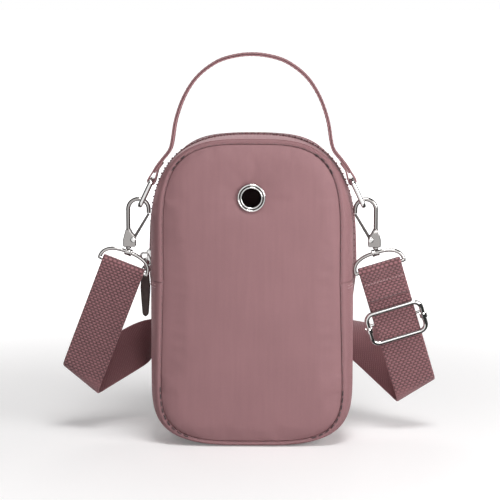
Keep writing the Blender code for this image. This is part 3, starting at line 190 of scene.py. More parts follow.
def outward(obj):
    """Merges doubles and turns every face outward."""
    only(obj)
    bpy.ops.object.mode_set(mode="EDIT")
    bpy.ops.mesh.select_all(action="SELECT")
    bpy.ops.mesh.remove_doubles(threshold=1e-6)
    bpy.ops.mesh.normals_make_consistent(inside=False)
    bpy.ops.object.mode_set(mode="OBJECT")
    return obj


def facing_out(obj):
    """Turns the faces of a closed piece outward without merging anything."""
    shape = bmesh.new()
    shape.from_mesh(obj.data)
    bmesh.ops.recalc_face_normals(shape, faces=shape.faces)
    shape.to_mesh(obj.data)
    shape.free()
    return obj


def dress(obj, finish, body, slot, *nodes):
    """Gives a finished piece its material, its body and the solids that it stands for."""
    obj.data.materials.clear()
    obj.data.materials.append(FINISH[finish])
    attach(obj, body)
    if nodes:
        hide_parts(*nodes)
    return obj


def mesh_piece(name, points, faces):
    mesh = bpy.data.meshes.new(name)
    mesh.from_pydata([tuple(p) for p in points], [], faces)
    mesh.update()
    return placed(name, mesh)


def rows_piece(name, rows, round_across=False, round_along=False, caps=False):
    """A skin through rows of equally many points."""
    count, deep = len(rows[0]), len(rows)
    faces = []
    for i in range(deep if round_along else deep - 1):
        for j in range(count if round_across else count - 1):
            k, n = (j + 1) % count, (i + 1) % deep
            faces.append((i * count + j, i * count + k, n * count + k, n * count + j))
    if caps:
        faces += [tuple(first + j for j in range(count)) for first in (0, (deep - 1) * count)]
    return mesh_piece(name, [p for row in rows for p in row], faces)


def curve_piece(name, loops, closed, **settings):
    """A curve through one or more loops of points."""
    guide = added(name, bpy.ops.object.add, type="CURVE")
    give(guide.data, settings)
    for loop in loops:
        spline = guide.data.splines.new("POLY")
        spline.points.add(len(loop) - 1)
        for target, point in zip(spline.points, loop):
            target.co = (*point, 1.0)
        spline.use_cyclic_u = closed
    return guide


def as_mesh(guide):
    only(guide)
    bpy.ops.object.convert(target="MESH")
    return outward(settle(bpy.context.object))


def wire_piece(name, points, radius, closed=False, sides=5):
    """A round wire bent along points."""
    guide = curve_piece(
        name, [points], closed, dimensions="3D", bevel_depth=radius, bevel_resolution=sides,
        use_fill_caps=not closed,
    )
    return soft_shade(as_mesh(guide), 50)


def flat_piece(name, outer, holes, thickness, edge):
    """A flat outline in X and Z, with round holes and eased rims, this thick along Y."""
    loops = [outer] + [[(x + a, z + b) for a, b in circle(32, r)] for x, z, r in holes]
    guide = curve_piece(
        name, [[(x, z, 0.0) for x, z in loop] for loop in loops], True, dimensions="2D",
        fill_mode="BOTH", bevel_depth=edge, bevel_resolution=2, offset=-edge,
        extrude=thickness / 2 - edge,
    )
    guide.location = (0, FRONT_Y, 0)
    guide.rotation_euler = (math.pi / 2, 0, 0)
    return soft_shade(as_mesh(guide))


def joined(name, pieces):
    """Several meshes made one piece."""
    only(pieces[0])
    for piece in pieces:
        piece.select_set(True)
    bpy.ops.object.join()
    pieces[0].name = name
    return pieces[0]


def rod(name, radius, depth, centre, axis, edge=0.0):
    """A turned rod with its rims eased."""
    piece = settle(
        added(
            name, bpy.ops.mesh.primitive_cylinder_add, vertices=48, radius=radius, depth=depth,
            location=centre, rotation=UP.rotation_difference(axis).to_euler(),
        )
    )
    if edge:
        finished_with(piece, "BEVEL", width=edge, segments=3, limit_method="ANGLE")
    return soft_shade(piece)


def brick(name, low, high, edge, segments=4):
    """A block between two corners with rounded edges."""
    low, high = Vector(low), Vector(high)
    piece = added(name, bpy.ops.mesh.primitive_cube_add, size=1.0, location=(low + high) / 2)
    piece.scale = high - low
    return soft_shade(finished_with(settle(piece), "BEVEL", width=edge, segments=segments))


def subtract(piece, tool):
    """Cuts the tool's shape out of the piece."""
    finished_with(piece, "BOOLEAN", operation="DIFFERENCE", solver="EXACT", object=tool)
    bpy.data.objects.remove(tool)
    return piece


# Materials.

FINISH = {}


class Shade:
    """A small bench for one material: its nodes are laid and linked by short calls."""

    def __init__(self, name, shelf=None, shader="Principled BSDF"):
        self.made = (bpy.data.materials if shelf is None else shelf).new(name)
        self.made.use_nodes = True
        self.tree = self.made.node_tree
        self.shader = self.tree.nodes[shader]

    def put(self, kind, **settings):
        return give(self.tree.nodes.new(kind), settings)

    def join(self, value, socket):
        """Links an output to a socket, or gives the socket a plain value."""
        if isinstance(value, (int, float, tuple)):
            socket.default_value = value
        else:
            self.tree.links.new(value, socket)

    def feed(self, **values):
        """Fills the shader's own sockets."""
        for key, value in values.items():
            self.join(value, self.shader.inputs[key.replace("_", " ")])

    def through(self, kind, sockets, out=0, **settings):
        """One output of a new node whose sockets are filled."""
        node = self.put(kind, **settings)
        for key, value in sockets.items():
            self.join(value, node.inputs[key])
        return node.outputs[out]

    def coordinates(self, scale=(1, 1, 1)):
        place = self.put("ShaderNodeTexCoord").outputs["Object"]
        return self.through("ShaderNodeMapping", {"Vector": place, "Scale": scale})

    def noise(self, vector, scale, detail=3.0, roughness=0.5):
        sockets = {"Vector": vector, "Scale": scale, "Detail": detail, "Roughness": roughness}
        return self.through("ShaderNodeTexNoise", sockets, "Fac")

    def split(self, vector):
        node = self.put("ShaderNodeSeparateXYZ")
        self.join(vector, node.inputs[0])
        return tuple(node.outputs)

    def math(self, kind, *values):
        return self.through("ShaderNodeMath", dict(enumerate(values)), operation=kind)

    def plus(self, first, *others):
        for other in others:
            first = self.math("ADD", first, other)
        return first

    def times(self, a, b):
        return self.math("MULTIPLY", a, b)

    def wave(self, value, pitch):
        return self.math("SINE", self.times(value, 2 * math.pi / pitch))

    def ramp(self, factor, stops):
        node = self.put("ShaderNodeValToRGB")
        elements = node.color_ramp.elements
        while len(elements) < len(stops):
            elements.new(0.5)
        for element, (at, colour) in zip(elements, stops):
            element.position, element.color = at, (*colour, 1.0)
        self.join(factor, node.inputs["Fac"])
        return node.outputs["Color"]

    def shades(self, factor, colour, *stops):
        """Colours the surface with darker and lighter shares of one colour."""
        self.feed(Base_Color=self.ramp(factor, [(at, tint(colour, share)) for at, share in stops]))

    def studio(self, direction):
        """What metal sees in this direction."""
        where = self.plus(self.times(self.split(direction)[1], 0.5), 0.5)
        return self.ramp(where, [(at, (grey, grey, grey)) for at, grey in STUDIO])

    def bump(self, height, distance, strength=1.0, below=None):
        sockets = {"Height": height, "Distance": distance, "Strength": strength}
        if below is not None:
            sockets["Normal"] = below
        return self.through("ShaderNodeBump", sockets, "Normal")


def clamp(value, low=0.0, high=1.0):
    return min(max(value, low), high)


def eased(u):
    """A share from 0 to 1 with a soft start and a soft end."""
    return u * u * (3 - 2 * u)


def tint(colour, share):
    return tuple(clamp(channel * share) for channel in colour)


def bag_cloth(name, colour, weave=0.55 * MM):
    """Smooth padded cloth: a very fine plain weave over a soft, uneven nap."""
    s = Shade(name)
    place = s.coordinates()
    broad = s.noise(place, 38.0, 2.0)
    fine = s.noise(place, 900.0, 4.0, 0.6)
    streak = s.noise(s.coordinates((1, 1, 0.07)), 420.0)
    nap = s.plus(s.times(broad, 0.4), s.times(fine, 0.25), s.times(streak, 0.35))
    s.shades(nap, colour, (0.3, 0.93), (0.7, 1.07))
    x, y, z = s.split(place)
    threads = s.times(s.wave(s.plus(x, y), weave), s.wave(s.plus(z, y), weave))
    s.feed(
        Normal=s.bump(broad, 0.9 * MM, 0.25, s.bump(threads, 0.04 * MM, 0.5)),
        Roughness=s.plus(s.times(fine, 0.16), 0.52),
        Sheen_Weight=0.35, Sheen_Roughness=0.45, Sheen_Tint=(*tint(colour, 2.2), 1.0),
        Specular_IOR_Level=0.35,
    )
    return s.made


def strap_webbing(name, colour):
    """Strap webbing: offset rows of fat threads where it hangs in front, finer rows behind."""
    s = Shade(name)
    along, across, _ = s.split(s.put("ShaderNodeTexCoord").outputs["UV"])
    place = s.coordinates()
    reverse = s.put("ShaderNodeAttribute", attribute_name="reverse").outputs["Fac"]
    wander = s.times(s.noise(place, 300.0, 2.0), 0.3)

    def bumps(row_pitch, bump_pitch, slant):
        row = s.plus(s.math("DIVIDE", along, row_pitch), wander)
        shift = s.plus(s.times(s.math("FLOOR", row), 0.5), s.times(s.math("FRACT", row), slant))
        thread = s.plus(s.math("DIVIDE", across, bump_pitch), shift)
        waves = [s.math("ABSOLUTE", s.wave(value, 2.0)) for value in (thread, row)]
        return s.math("POWER", s.times(*waves), 0.6)

    coarse, small = bumps(1.65 * MM, 2.7 * MM, 0.0), bumps(0.9 * MM, 1.6 * MM, 0.5)
    # Painted shade and painted highlight: the thread height below also sets the colour, darker in
    # the hollows between threads and lighter on their tops.
    height = s.plus(
        s.times(coarse, s.math("SUBTRACT", 1.0, reverse)),
        s.times(reverse, s.plus(s.times(small, 0.4), 0.55)),
    )
    grain = s.noise(place, 2200.0, 3.0, 0.6)
    broad = s.noise(place, 60.0, 2.0)
    # Painted highlight: the colour is lighter in a band along each edge, where light catches the
    # rounded selvedge.
    edge = s.math("GREATER_THAN", s.math("ABSOLUTE", across), 12.3 * MM)
    # The colour mixes painted shade and highlight, from the thread height and the edges, with
    # random tone from the grain and broad noise.
    terms = ((height, 0.74), (grain, 0.2), (broad, 0.12), (edge, 0.25))
    look = s.plus(*(s.times(value, share) for value, share in terms))
    s.shades(look, colour, (0.16, 0.42), (0.52, 0.92), (0.92, 1.75))
    relief = s.bump(grain, 0.1 * MM, 0.4, s.bump(height, 0.5 * MM))
    s.feed(
        Normal=s.bump(s.wave(across, 0.4 * MM), 0.04 * MM, 0.4, relief),
        Roughness=0.7, Sheen_Weight=0.2, Sheen_Roughness=0.5, Specular_IOR_Level=0.3,
    )
    return s.made


def thin_tape(name, colour, pitch=0.9 * MM):
    """Herringbone tape, as on a zip's sides."""
    s = Shade(name)
    place = s.coordinates()
    x, y, z = s.split(place)
    wave = s.wave(s.plus(x, z, s.math("PINGPONG", y, 1.2 * MM)), pitch)
    both = s.plus(s.times(wave, 0.25), s.noise(place, 1500.0))
    s.shades(both, colour, (0.2, 0.7), (0.8, 1.25))
    s.feed(Normal=s.bump(wave, 0.12 * MM, 0.7), Roughness=0.8, Sheen_Weight=0.2)
    return s.made


def sewing_thread(name, colour):
    """Twisted sewing thread."""
    s = Shade(name)
    sockets = {"Vector": s.coordinates(), "Scale": 1400.0}
    twist = s.through("ShaderNodeTexWave", sockets, "Fac", bands_direction="DIAGONAL")
    s.shades(twist, colour, (0.0, 0.75), (1.0, 1.15))
    s.feed(Normal=s.bump(twist, 0.06 * MM, 0.8), Roughness=0.5, Sheen_Weight=0.3)
    return s.made


def polished_metal(name, colour, roughness=0.1):
    """Bright plating with faint rubbing marks."""
    s = Shade(name)
    place = s.coordinates((1.0, 1.0, 0.35))
    broad = s.noise(place, 220.0)
    fine = s.noise(place, 2400.0, 5.0, 0.65)
    s.shades(broad, colour, (0.3, 0.94), (0.7, 1.0))
    s.feed(
        Roughness=s.plus(s.times(s.times(broad, fine), roughness * 1.6), roughness * 0.75),
        Normal=s.bump(fine, 0.01 * MM, 0.25), Metallic=1.0,
    )
    return s.made


def dark_leather(name, colour):
    """Smooth dark leather with small creases and rubbed high spots."""
    s = Shade(name)
    place = s.coordinates()
    cells = s.through(
        "ShaderNodeTexVoronoi", {"Vector": place, "Scale": 1100.0}, "Distance",
        feature="DISTANCE_TO_EDGE",
    )
    rub = s.noise(place, 160.0, 4.0)
    s.shades(rub, colour, (0.35, 0.8), (0.75, 1.7))
    s.feed(
        Normal=s.bump(s.math("MINIMUM", cells, 0.12), 0.4 * MM, 0.6, s.bump(rub, 0.3 * MM, 0.3)),
        Roughness=s.plus(s.times(rub, 0.2), 0.34), Specular_IOR_Level=0.5,
    )
    return s.made


def moulded(name, colour):
    """Moulded zip teeth with a slight mottle."""
    s = Shade(name)
    mottle = s.noise(s.coordinates(), 700.0)
    s.shades(mottle, colour, (0.3, 0.85), (0.7, 1.2))
    s.feed(Normal=s.bump(mottle, 0.05 * MM, 0.4), Roughness=0.42)
    return s.made


def make_finishes(props):
    rose = tuple(props.cloth_colour)
    FINISH.update(
        cloth=bag_cloth("rose_cloth", rose),
        handle=bag_cloth("handle_cloth", tint(rose, 0.99)),
        # Painted highlight: the handle's inner layer takes a lit copy of the same cloth, 1.3 times
        # lighter.
        handle_under=bag_cloth("handle_under_cloth", tint(rose, 1.3)),
        webbing=strap_webbing("rose_webbing", tuple(props.webbing_colour)),
        tape=thin_tape("zip_tape", (0.09, 0.026, 0.031)),
        lining=thin_tape("lining_cloth", (0.03, 0.018, 0.02), 0.6 * MM),
        thread=sewing_thread("rose_thread", tint(rose, 0.8)),
        dark_thread=sewing_thread("dark_thread", (0.035, 0.018, 0.02)),
        light_thread=sewing_thread("light_thread", (0.5, 0.3, 0.31)),
        metal=polished_metal("bright_nickel", (0.82, 0.81, 0.80)),
        # Painted shade: the hook and the strap rings take darker copies of the one nickel plating,
        # and the gate a near-black one, for the shade and dark reflections on them.
        hook_metal=polished_metal("hook_nickel", (0.4, 0.38, 0.37)),
        ring_metal=polished_metal("ring_nickel", (0.52, 0.5, 0.49)),
        gate_metal=polished_metal("gate_steel", (0.1, 0.09, 0.088), 0.2),
        teeth=moulded("zip_teeth", (0.15, 0.045, 0.052)),
        leather=dark_leather("dark_leather", (0.05, 0.026, 0.024)),
    )


# Lines and shapes that the pieces share.


def circle(count, radius=1.0):
    """Places round a circle, as pairs."""
    turns = [2 * math.pi * k / count for k in range(count)]
    return [(radius * math.cos(a), radius * math.sin(a)) for a in turns]


def squarish(angle, wide, tall, exponent):
    """A place on an oval whose corners are filled out by the exponent."""
    c, s = math.cos(angle), math.sin(angle)
    return wide * math.copysign(abs(c) ** (2 / exponent), c), tall * abs(s) ** (2 / exponent)


def lengths(line):
    """How far along the line each of its points is."""
    along = [0.0]
    for a, b in zip(line, line[1:]):
        along.append(along[-1] + (b - a).length)
    return along


def heading(line, k, closed=False):
    """The line's direction at one of its points."""
    if closed:
        return (line[(k + 1) % len(line)] - line[k - 1]).normalized()
    return (line[min(k + 1, len(line) - 1)] - line[max(k - 1, 0)]).normalized()


def quarter_turn(t):
    """The direction square to t in X and Z."""
    return Vector((-t.z, 0, t.x))


def spread(points, count, closed=False):
    """The points again, count steps apart by equal lengths along their line."""
    line = list(points) + ([points[0]] if closed else [])
    along = lengths(line)
    made, i = [], 0
    for k in range(count if closed else count + 1):
        goal = along[-1] * k / count
        while i < len(line) - 2 and along[i + 1] < goal:
            i += 1
        span = along[i + 1] - along[i]
        made.append(line[i].lerp(line[i + 1], clamp((goal - along[i]) / span if span else 0.0)))
    return made


def curve_through(points, steps):
    line = []
    ends = [points[0] * 2 - points[1], *points, points[-1] * 2 - points[-2]]
    for a, b, c, d in zip(ends, ends[1:], ends[2:], ends[3:]):
        first, second, third = c - a, 2 * a - 5 * b + 4 * c - d, 3 * b - a - 3 * c + d
        for t in (k / steps for k in range(steps)):
            line.append(0.5 * (2 * b + first * t + second * t * t + third * t**3))
    return [*line, points[-1]]


def arch(side, top, wall=0.0, exponent=ARCH_EXPONENT):
    """The bag's upper outline from the left seam over the top to the right one."""
    half, rise = HALF_WIDTH - side - wall, ARCH_HEIGHT - top - wall
    line = [Vector((-half, 0, SEAM_HEIGHT))]
    for k in range(OUTLINE_STEPS + 1):
        x, lift = squarish(math.pi * (1 - k / OUTLINE_STEPS), half, rise, exponent)
        line.append(Vector((x, 0, HEIGHT - ARCH_HEIGHT + lift)))
    return [*line, Vector((half, 0, SEAM_HEIGHT))]


def foot(side, low, wall=0.0):
    """The bag's lower outline from the right seam under it to the left one."""
    half, drop = HALF_WIDTH - side - wall, FOOT_HEIGHT + FOOT_FLAT - low - wall
    line = [Vector((half, 0, SEAM_HEIGHT))]
    for k in range(OUTLINE_STEPS + 1):
        x, fall = squarish(-math.pi * k / OUTLINE_STEPS, half, drop, FOOT_EXPONENT)
        line.append(Vector((x, 0, FOOT_HEIGHT - fall)))
    return [*line, Vector((-half, 0, SEAM_HEIGHT))]


def wall_line(line_of, share, lip=0.0):
    """The wall's outline at this share of the way from the zip to the panel."""
    left = 1.0 - math.sqrt(max(0.0, 1.0 - share * share))
    side = SIDE_INSET * left + ZIP_PROUD + lip
    if line_of is arch:
        exponent = ARCH_EXPONENT + (PANEL_EXPONENT - ARCH_EXPONENT) * left
        return arch(side, TOP_INSET * left + ZIP_PROUD + lip, exponent=exponent)
    line = foot(side, FOOT_INSET * left + lip)
    for point in line:
        down = clamp((SEAM_HEIGHT - point.z) / (38 * MM))
        point.x *= 1 + 0.03 * left * eased(down)
    return line


def depth_at(share):
    return ZIP_HALF + (HALF_DEPTH - ZIP_HALF) * share


def panel_outline(room):
    """The closed line of a panel's edge, this far inside the lip of the wall."""
    top, low = spread(wall_line(arch, 1.0, LIP), 190), spread(wall_line(foot, 1.0, LIP), 170)
    line = top + low[1:-1]
    ahead = [heading(line, k, closed=True) for k in range(len(line))]
    return [point + Vector((t.z, 0, -t.x)) * room for point, t in zip(line, ahead)]


def rounded_loop(half_width, half_length, corner, steps=12):
    """An oblong with round corners, as pairs."""
    line = []
    for quarter, (x, z) in enumerate(((1, 1), (-1, 1), (-1, -1), (1, -1))):
        for k in range(steps + 1):
            angle = math.pi / 2 * (quarter + k / steps)
            across = x * (half_width - corner) + corner * math.cos(angle)
            line.append((across, z * (half_length - corner) + corner * math.sin(angle)))
    return line


def lathed(name, centre, axes, stations, sides, hollow=True):
    """Rings of given radii at given places along the first axis: a collar, or a solid knob."""
    axis, u, v = axes
    rings = [[centre + axis * s + u * a + v * b for a, b in circle(sides, r)] for s, r in stations]
    piece = rows_piece(name, rings, round_across=True, round_along=hollow, caps=not hollow)
    return soft_shade(facing_out(piece), 35 if hollow else 50)


def turned(name, profile, centre):
    """A closed profile of radius and depth turned about a line along Y."""
    rings = []
    for x, z in circle(128):
        rings.append([centre + Vector((x * r, depth, z * r)) for r, depth in profile])
    return soft_shade(facing_out(rows_piece(name, rings, round_across=True, round_along=True)), 35)


def swept(name, rings, along, across):
    """A skin through closed rings, with its lengths along and across kept as UV in metres."""
    obj = rows_piece(name, rings, round_across=True, caps=True)
    layer = obj.data.uv_layers.new(name="lengths")
    for loop in obj.data.loops:
        i, j = divmod(loop.vertex_index, len(rings[0]))
        layer.data[loop.index].uv = (along[i], across[j])
    for polygon in obj.data.polygons:
        polygon.use_smooth = True
    return facing_out(obj)


def normals_of(points, axis):
    """A strip's side at each point: square to its line and to its width."""
    return [axis.cross(heading(points, k)).normalized() for k in range(len(points))]


def ribbon(name, points, axis, width, thickness, corner=None):
    """A flat strip along points, this wide along one fixed axis and this thick across it."""
    profile = rounded_loop(width / 2, thickness / 2, corner or thickness / 2, 5)
    normals = normals_of(points, axis)
    rings = [[p + axis * w + n * h for w, h in profile] for p, n in zip(points, normals)]
    return swept(name, rings, lengths(points), [w + h for w, h in profile])


def sew(name, places, sizes, finish, body=BODY, slot="nylon"):
    """Thread stitches of this length, radius and rise in mm, each an arc between two holes.

    A place is a stitch's middle, its heading and its outward side.
    """
    length, radius, rise = (size * MM for size in sizes)
    points, faces = [], []
    sides, steps = 6, 6
    for middle, t, n in places:
        b = t.cross(n)
        base = len(points)
        for k in range(steps + 1):
            u = k / steps * 2 - 1
            lift = rise * (1 - u**4) - radius * 0.9 * abs(u) ** 3
            centre = middle + t * (u * length / 2) + n * lift
            size = radius * (1 - 0.35 * abs(u) ** 3)
            points += [centre + b * p + n * q for p, q in circle(sides, size)]
        for k in range(steps):
            for j in range(sides):
                a, c = base + k * sides + j, base + k * sides + (j + 1) % sides
                faces.append((a, c, c + sides, a + sides))
        for first in (base, base + steps * sides):
            faces.append(tuple(first + j for j in range(sides)))
    row = facing_out(mesh_piece(name, points, faces))
    for polygon in row.data.polygons:
        polygon.use_smooth = True
    return dress(row, finish, body, slot)


def sheet_wall(name, rows, wall):
    """A wall of cloth through rows, faced away from the bag's middle and given its thickness."""
    obj = rows_piece(name, rows)
    face = obj.data.polygons[len(obj.data.polygons) // 2]
    if face.normal.dot(face.center - MIDDLE) < 0:
        obj.data.flip_normals()
    finished_with(obj, "SOLIDIFY", thickness=wall, offset=-1.0, use_even_offset=True)
    return soft_shade(obj, 50)


# The strap.


def frame_of(origin, along, across):
    """A frame whose X runs along, whose Y runs across and whose Z is square to both."""
    t = along.normalized()
    b = (across - t * across.dot(t)).normalized()
    return Matrix.Translation(origin) @ Matrix((t, b, t.cross(b))).transposed().to_4x4()


def fold_axes(slant):
    """The directions across a fold and along its crease."""
    c, s = math.cos(slant), math.sin(slant)
    return Vector((c, s, 0)), Vector((-s, c, 0))


def fold_step(fold):
    """How a fold moves all that lies beyond it."""
    at, slant, radius, angle = fold
    e, a = fold_axes(slant)
    sign, bend = math.copysign(1, angle), abs(angle)
    root = RIGHT * at
    lift = UP * (sign * radius * (1 - math.cos(bend)))
    return (
        Matrix.Translation(root + e * (radius * math.sin(bend)) + lift)
        @ Matrix.Rotation(-sign * bend, 4, a)
        @ Matrix.Translation(-(root + e * (radius * bend)))
    )


def folded(frame, folds, s, w, h):
    """A point of the strap, along it, across it and off its middle, where the folds put it."""
    for fold in folds:
        at, slant, radius, angle = fold
        e, a = fold_axes(slant)
        rel = Vector((s - at, w, 0))
        reach = rel.dot(e)
        if reach <= 0:
            break
        sign = math.copysign(1, angle)
        if reach < radius * abs(angle):
            turn = reach / radius
            inner = radius - sign * h
            lift = UP * (sign * (radius - inner * math.cos(turn)))
            return frame @ (RIGHT * at + a * rel.dot(a) + e * (inner * math.sin(turn)) + lift)
        frame = frame @ fold_step(fold)
    return frame @ Vector((s, w, h))


def ring_axes(side):
    """A strap ring's eye and bar, and the directions along the bar and up through the eye."""
    angle = math.radians(TILTS[side])
    along = Vector((side * math.cos(angle), 0, math.sin(angle)))
    upward = Vector((-side * math.sin(angle), 0, math.cos(angle)))
    eye = Vector((side * RING_EYE.x, RING_EYE.y, RING_EYE.z))
    return eye, eye - upward * RING_RISE, along, upward


def strap_side(side):
    """One end of the strap: its frame, its folds, its hanging band's frame and its folds' end."""
    _, bar, along, upward = ring_axes(side)
    lean, flare = math.radians(LEAN), math.radians(FLAP_FLARE)
    down = BACKWARD * math.sin(lean) - upward * math.cos(lean)
    across = along * side
    rise = WRAP * (1 + math.cos(flare)) - FLAP_BEND * (1 - math.cos(flare))
    slope = (rise - WEB_THICKNESS - 0.3 * MM) / math.sin(flare)
    flat, over = FLAP - slope, math.pi + flare
    wrap_at = flat + FLAP_BEND * flare + slope
    folds = [(flat, 0.0, FLAP_BEND, -side * flare), (wrap_at, 0.0, WRAP, side * over)]
    band_at = wrap_at + WRAP * over
    band_frame = frame_of(bar - down.cross(across) * (WRAP * side), down, across)
    steps = fold_step(folds[0]) @ fold_step(folds[1]) @ Matrix.Translation((band_at, 0, 0))
    lead = Vector((-side * LEADS[side].x, LEADS[side].y, LEADS[side].z))
    t, b, n = (band_frame.to_3x3().col[i].normalized() for i in range(3))
    slant = math.atan(-b.dot(lead) / (1 - t.dot(lead)))
    e = t * math.cos(slant) + b * math.sin(slant)
    angle = math.atan2(lead.dot(n), lead.dot(e))
    reach = FOLD_RADIUS * abs(angle) / math.cos(slant)
    fold_at = band_at + FALLS[side] - reach / 2
    folds.append((fold_at, slant, FOLD_RADIUS, angle))
    return band_frame @ steps.inverted(), folds, band_frame, fold_at + reach + LEAD_START


def web_profile():
    """Places round the webbing's section: how far across it and how far off its middle."""
    half, thin = (WEB_WIDTH - WEB_THICKNESS) / 2, WEB_THICKNESS / 2
    outline = []
    for hand in (1, -1):
        outline += [(hand * half * (k / 6 - 1), hand * thin) for k in range(13)]
        angles = [hand * math.pi / 2 - math.pi * k / 6 for k in range(1, 6)]
        outline += [(hand * half + thin * math.cos(a), thin * math.sin(a)) for a in angles]
    return outline


def end_rings(side):
    """The folded part of one end, from its cut end: its middle line, rings and how it goes on."""
    frame, folds, _, finish = strap_side(side)
    step = 2.2 * MM
    stations = [k * step for k in range(math.ceil(finish / step))]
    for at, slant, radius, angle in folds:
        reach = WEB_WIDTH / 2 * abs(math.tan(slant))
        low, high = at - reach, at + radius * abs(angle) / math.cos(slant) + reach
        count = max(8, round((high - low) / min(radius * 0.16, 0.9 * MM)))
        close = [low + (high - low) * k / count for k in range(count + 1)]
        stations = [s for s in stations if s < low or s > high]
        stations += [s for s in close if 0 < s < finish]
    stations = sorted(stations) + [finish]
    profile = web_profile()
    rings = [[folded(frame, folds, s, w, -side * h) for w, h in profile] for s in stations]
    middle = [folded(frame, folds, s, 0, 0) for s in stations]
    ahead = (middle[-1] - folded(frame, folds, finish - 1.0 * MM, 0, 0)).normalized()
    beside = (folded(frame, folds, finish, WEB_WIDTH / 2, 0) - middle[-1]).normalized()
    return stations, middle, rings, ahead, beside


def lead_middle(side, end, ahead):
    """The strap's middle from its folded end to the top of the hank's outer run."""
    lead, rise = LEADS[side], math.radians(ENTRIES[side])
    centre_out = RUN_RADIUS * (RUNS - 1) + RUN_TURN
    start_out = centre_out + RUN_TURN * math.sin(rise)
    start_z = end.z + (abs(end.x) - start_out) * (math.tan(rise) + lead.z / lead.x) / 2
    centre_z = start_z - RUN_TURN * math.cos(rise)
    goal = Vector((side * start_out, RUN_PLACE, start_z))
    arriving = Vector((-side * math.cos(rise), 0, math.sin(rise)))
    span = (goal - end).length
    line = []
    for u in (k / LEAD_STEPS for k in range(LEAD_STEPS + 1)):
        leaving = ahead * ((u**3 - 2 * u**2 + u) * span)
        line.append(
            end * (1 - eased(u)) + leaving + goal * eased(u) + arriving * ((u**3 - u**2) * span)
        )
    for k in range(1, 13):
        angle = (math.pi / 2 + rise) * (1 - k / 12)
        x, z = centre_out - RUN_TURN * math.cos(angle), centre_z + RUN_TURN * math.sin(angle)
        line.append(Vector((side * x, RUN_PLACE, z)))
    return line


def lead_rings(side, line, beside):
    """Rings along the lead, which twist from the fold's slant to the hank's upright runs."""
    rings = []
    profile = web_profile()
    for k, point in enumerate(line):
        t = heading(line, k)
        turn = eased(min(k / LEAD_STEPS, 1.0)) * math.pi / 2
        start, goal = ((v - t * v.dot(t)).normalized() for v in (beside, BACKWARD))
        b = (start * math.cos(turn) + goal * math.sin(turn)).normalized()
        n = t.cross(b)
        rings.append([point + b * w - n * (h * side) for w, h in profile])
    return rings


def hank_middle(tops, low):
    """The hank's middle line: upright runs of these heights, joined by round turns."""
    middle, last = [], len(tops) - 1
    for run, top in enumerate(tops):
        x = RUN_RADIUS * (2 * run - last)
        sign = -1 if run % 2 == 0 else 1
        start, end = (top, low) if sign < 0 else (low, top)
        count = max(4, round(abs(top - low) / (6 * MM)))
        for k in range(1 if run == 0 else 0, count if run == last else count + 1):
            middle.append(Vector((x, RUN_PLACE, start + (end - start) * k / count)))
        if run < last:
            for angle in (math.pi * (1 - k / 16) for k in range(1, 16)):
                out, up = RUN_RADIUS * (1 + math.cos(angle)), RUN_RADIUS * math.sin(angle)
                middle.append(Vector((x + out, RUN_PLACE, end + sign * up)))
    return middle


def make_strap():
    """The whole webbing: a folded end on each side and the spare length in an upright hank."""
    ends = []
    for side in (-1, 1):
        stations, middle, rings, ahead, beside = end_rings(side)
        line = lead_middle(side, middle[-1], ahead)
        along = stations + [stations[-1] + gone for gone in lengths(line)[1:]]
        ends.append((along, middle[:-1] + line, rings[:-1] + lead_rings(side, line, beside)))
    (left_along, left_middle, left_rings), (right_along, right_middle, right_rings) = ends
    low = RUN_RADIUS + WEB_THICKNESS / 2
    used = sum(along[-1] + middle[-1].z - low for along, middle, _ in ends)
    tall = (STRAP_LENGTH - used - math.pi * RUN_RADIUS * (RUNS - 1)) / (RUNS - 2)
    tops = [left_middle[-1].z, *[low + tall] * (RUNS - 2), right_middle[-1].z]
    middle = hank_middle(tops, low)
    profile = web_profile()
    rings = []
    whole = [left_middle[-1], *middle, right_middle[-1]]
    for before, point, after in zip(whole, whole[1:], whole[2:]):
        t = ((point - before).normalized() + (after - point).normalized()).normalized()
        n = quarter_turn(t)
        rings.append([point + BACKWARD * w + n * h for w, h in profile])
    path = left_middle + middle + right_middle[::-1]
    rings = left_rings + rings + right_rings[::-1]
    along = left_along + [left_along[-1] + gone for gone in lengths(whole)[1:]]
    total = along[-1] + right_along[-1]
    along = along[:-1] + [total - s for s in right_along[::-1]]
    strap = swept("webbing_strap", rings, along, [w for w, _ in profile])
    turned_at = [strap_side(side)[1][-1][0] for side in (-1, 1)]
    reverse = strap.data.attributes.new("reverse", "FLOAT", "POINT")
    for i, s in enumerate(along):
        past = min(s - turned_at[0], total - s - turned_at[1])
        for j in range(len(profile)):
            reverse.data[i * len(profile) + j].value = clamp(past / (6 * MM))
    return strap, path


def make_tie():
    """The elastic band that holds the hank."""
    reach = RUN_RADIUS * (RUNS - 1) + WEB_THICKNESS / 2 + 0.45 * MM
    loop = rounded_loop(reach, WEB_WIDTH / 2 + 0.45 * MM, 1.6 * MM, 8)
    line = spread([Vector((x, RUN_PLACE + y, TIE_HEIGHT)) for x, y in loop], 160, closed=True)
    profile = [(-0.4, -4.4), (0.3, -4.4), (0.5, -4.2), (0.5, 4.2), (0.3, 4.4), (-0.4, 4.4)]
    rings = []
    for k, point in enumerate(line):
        n = heading(line, k, closed=True).cross(UP)
        rings.append([point + n * (h * MM) + UP * (w * MM) for h, w in profile])
    tie = rows_piece("hank_tie", rings, round_across=True, round_along=True)
    return dress(soft_shade(facing_out(tie)), "tape", BODY, "webbing", "strap_tie")


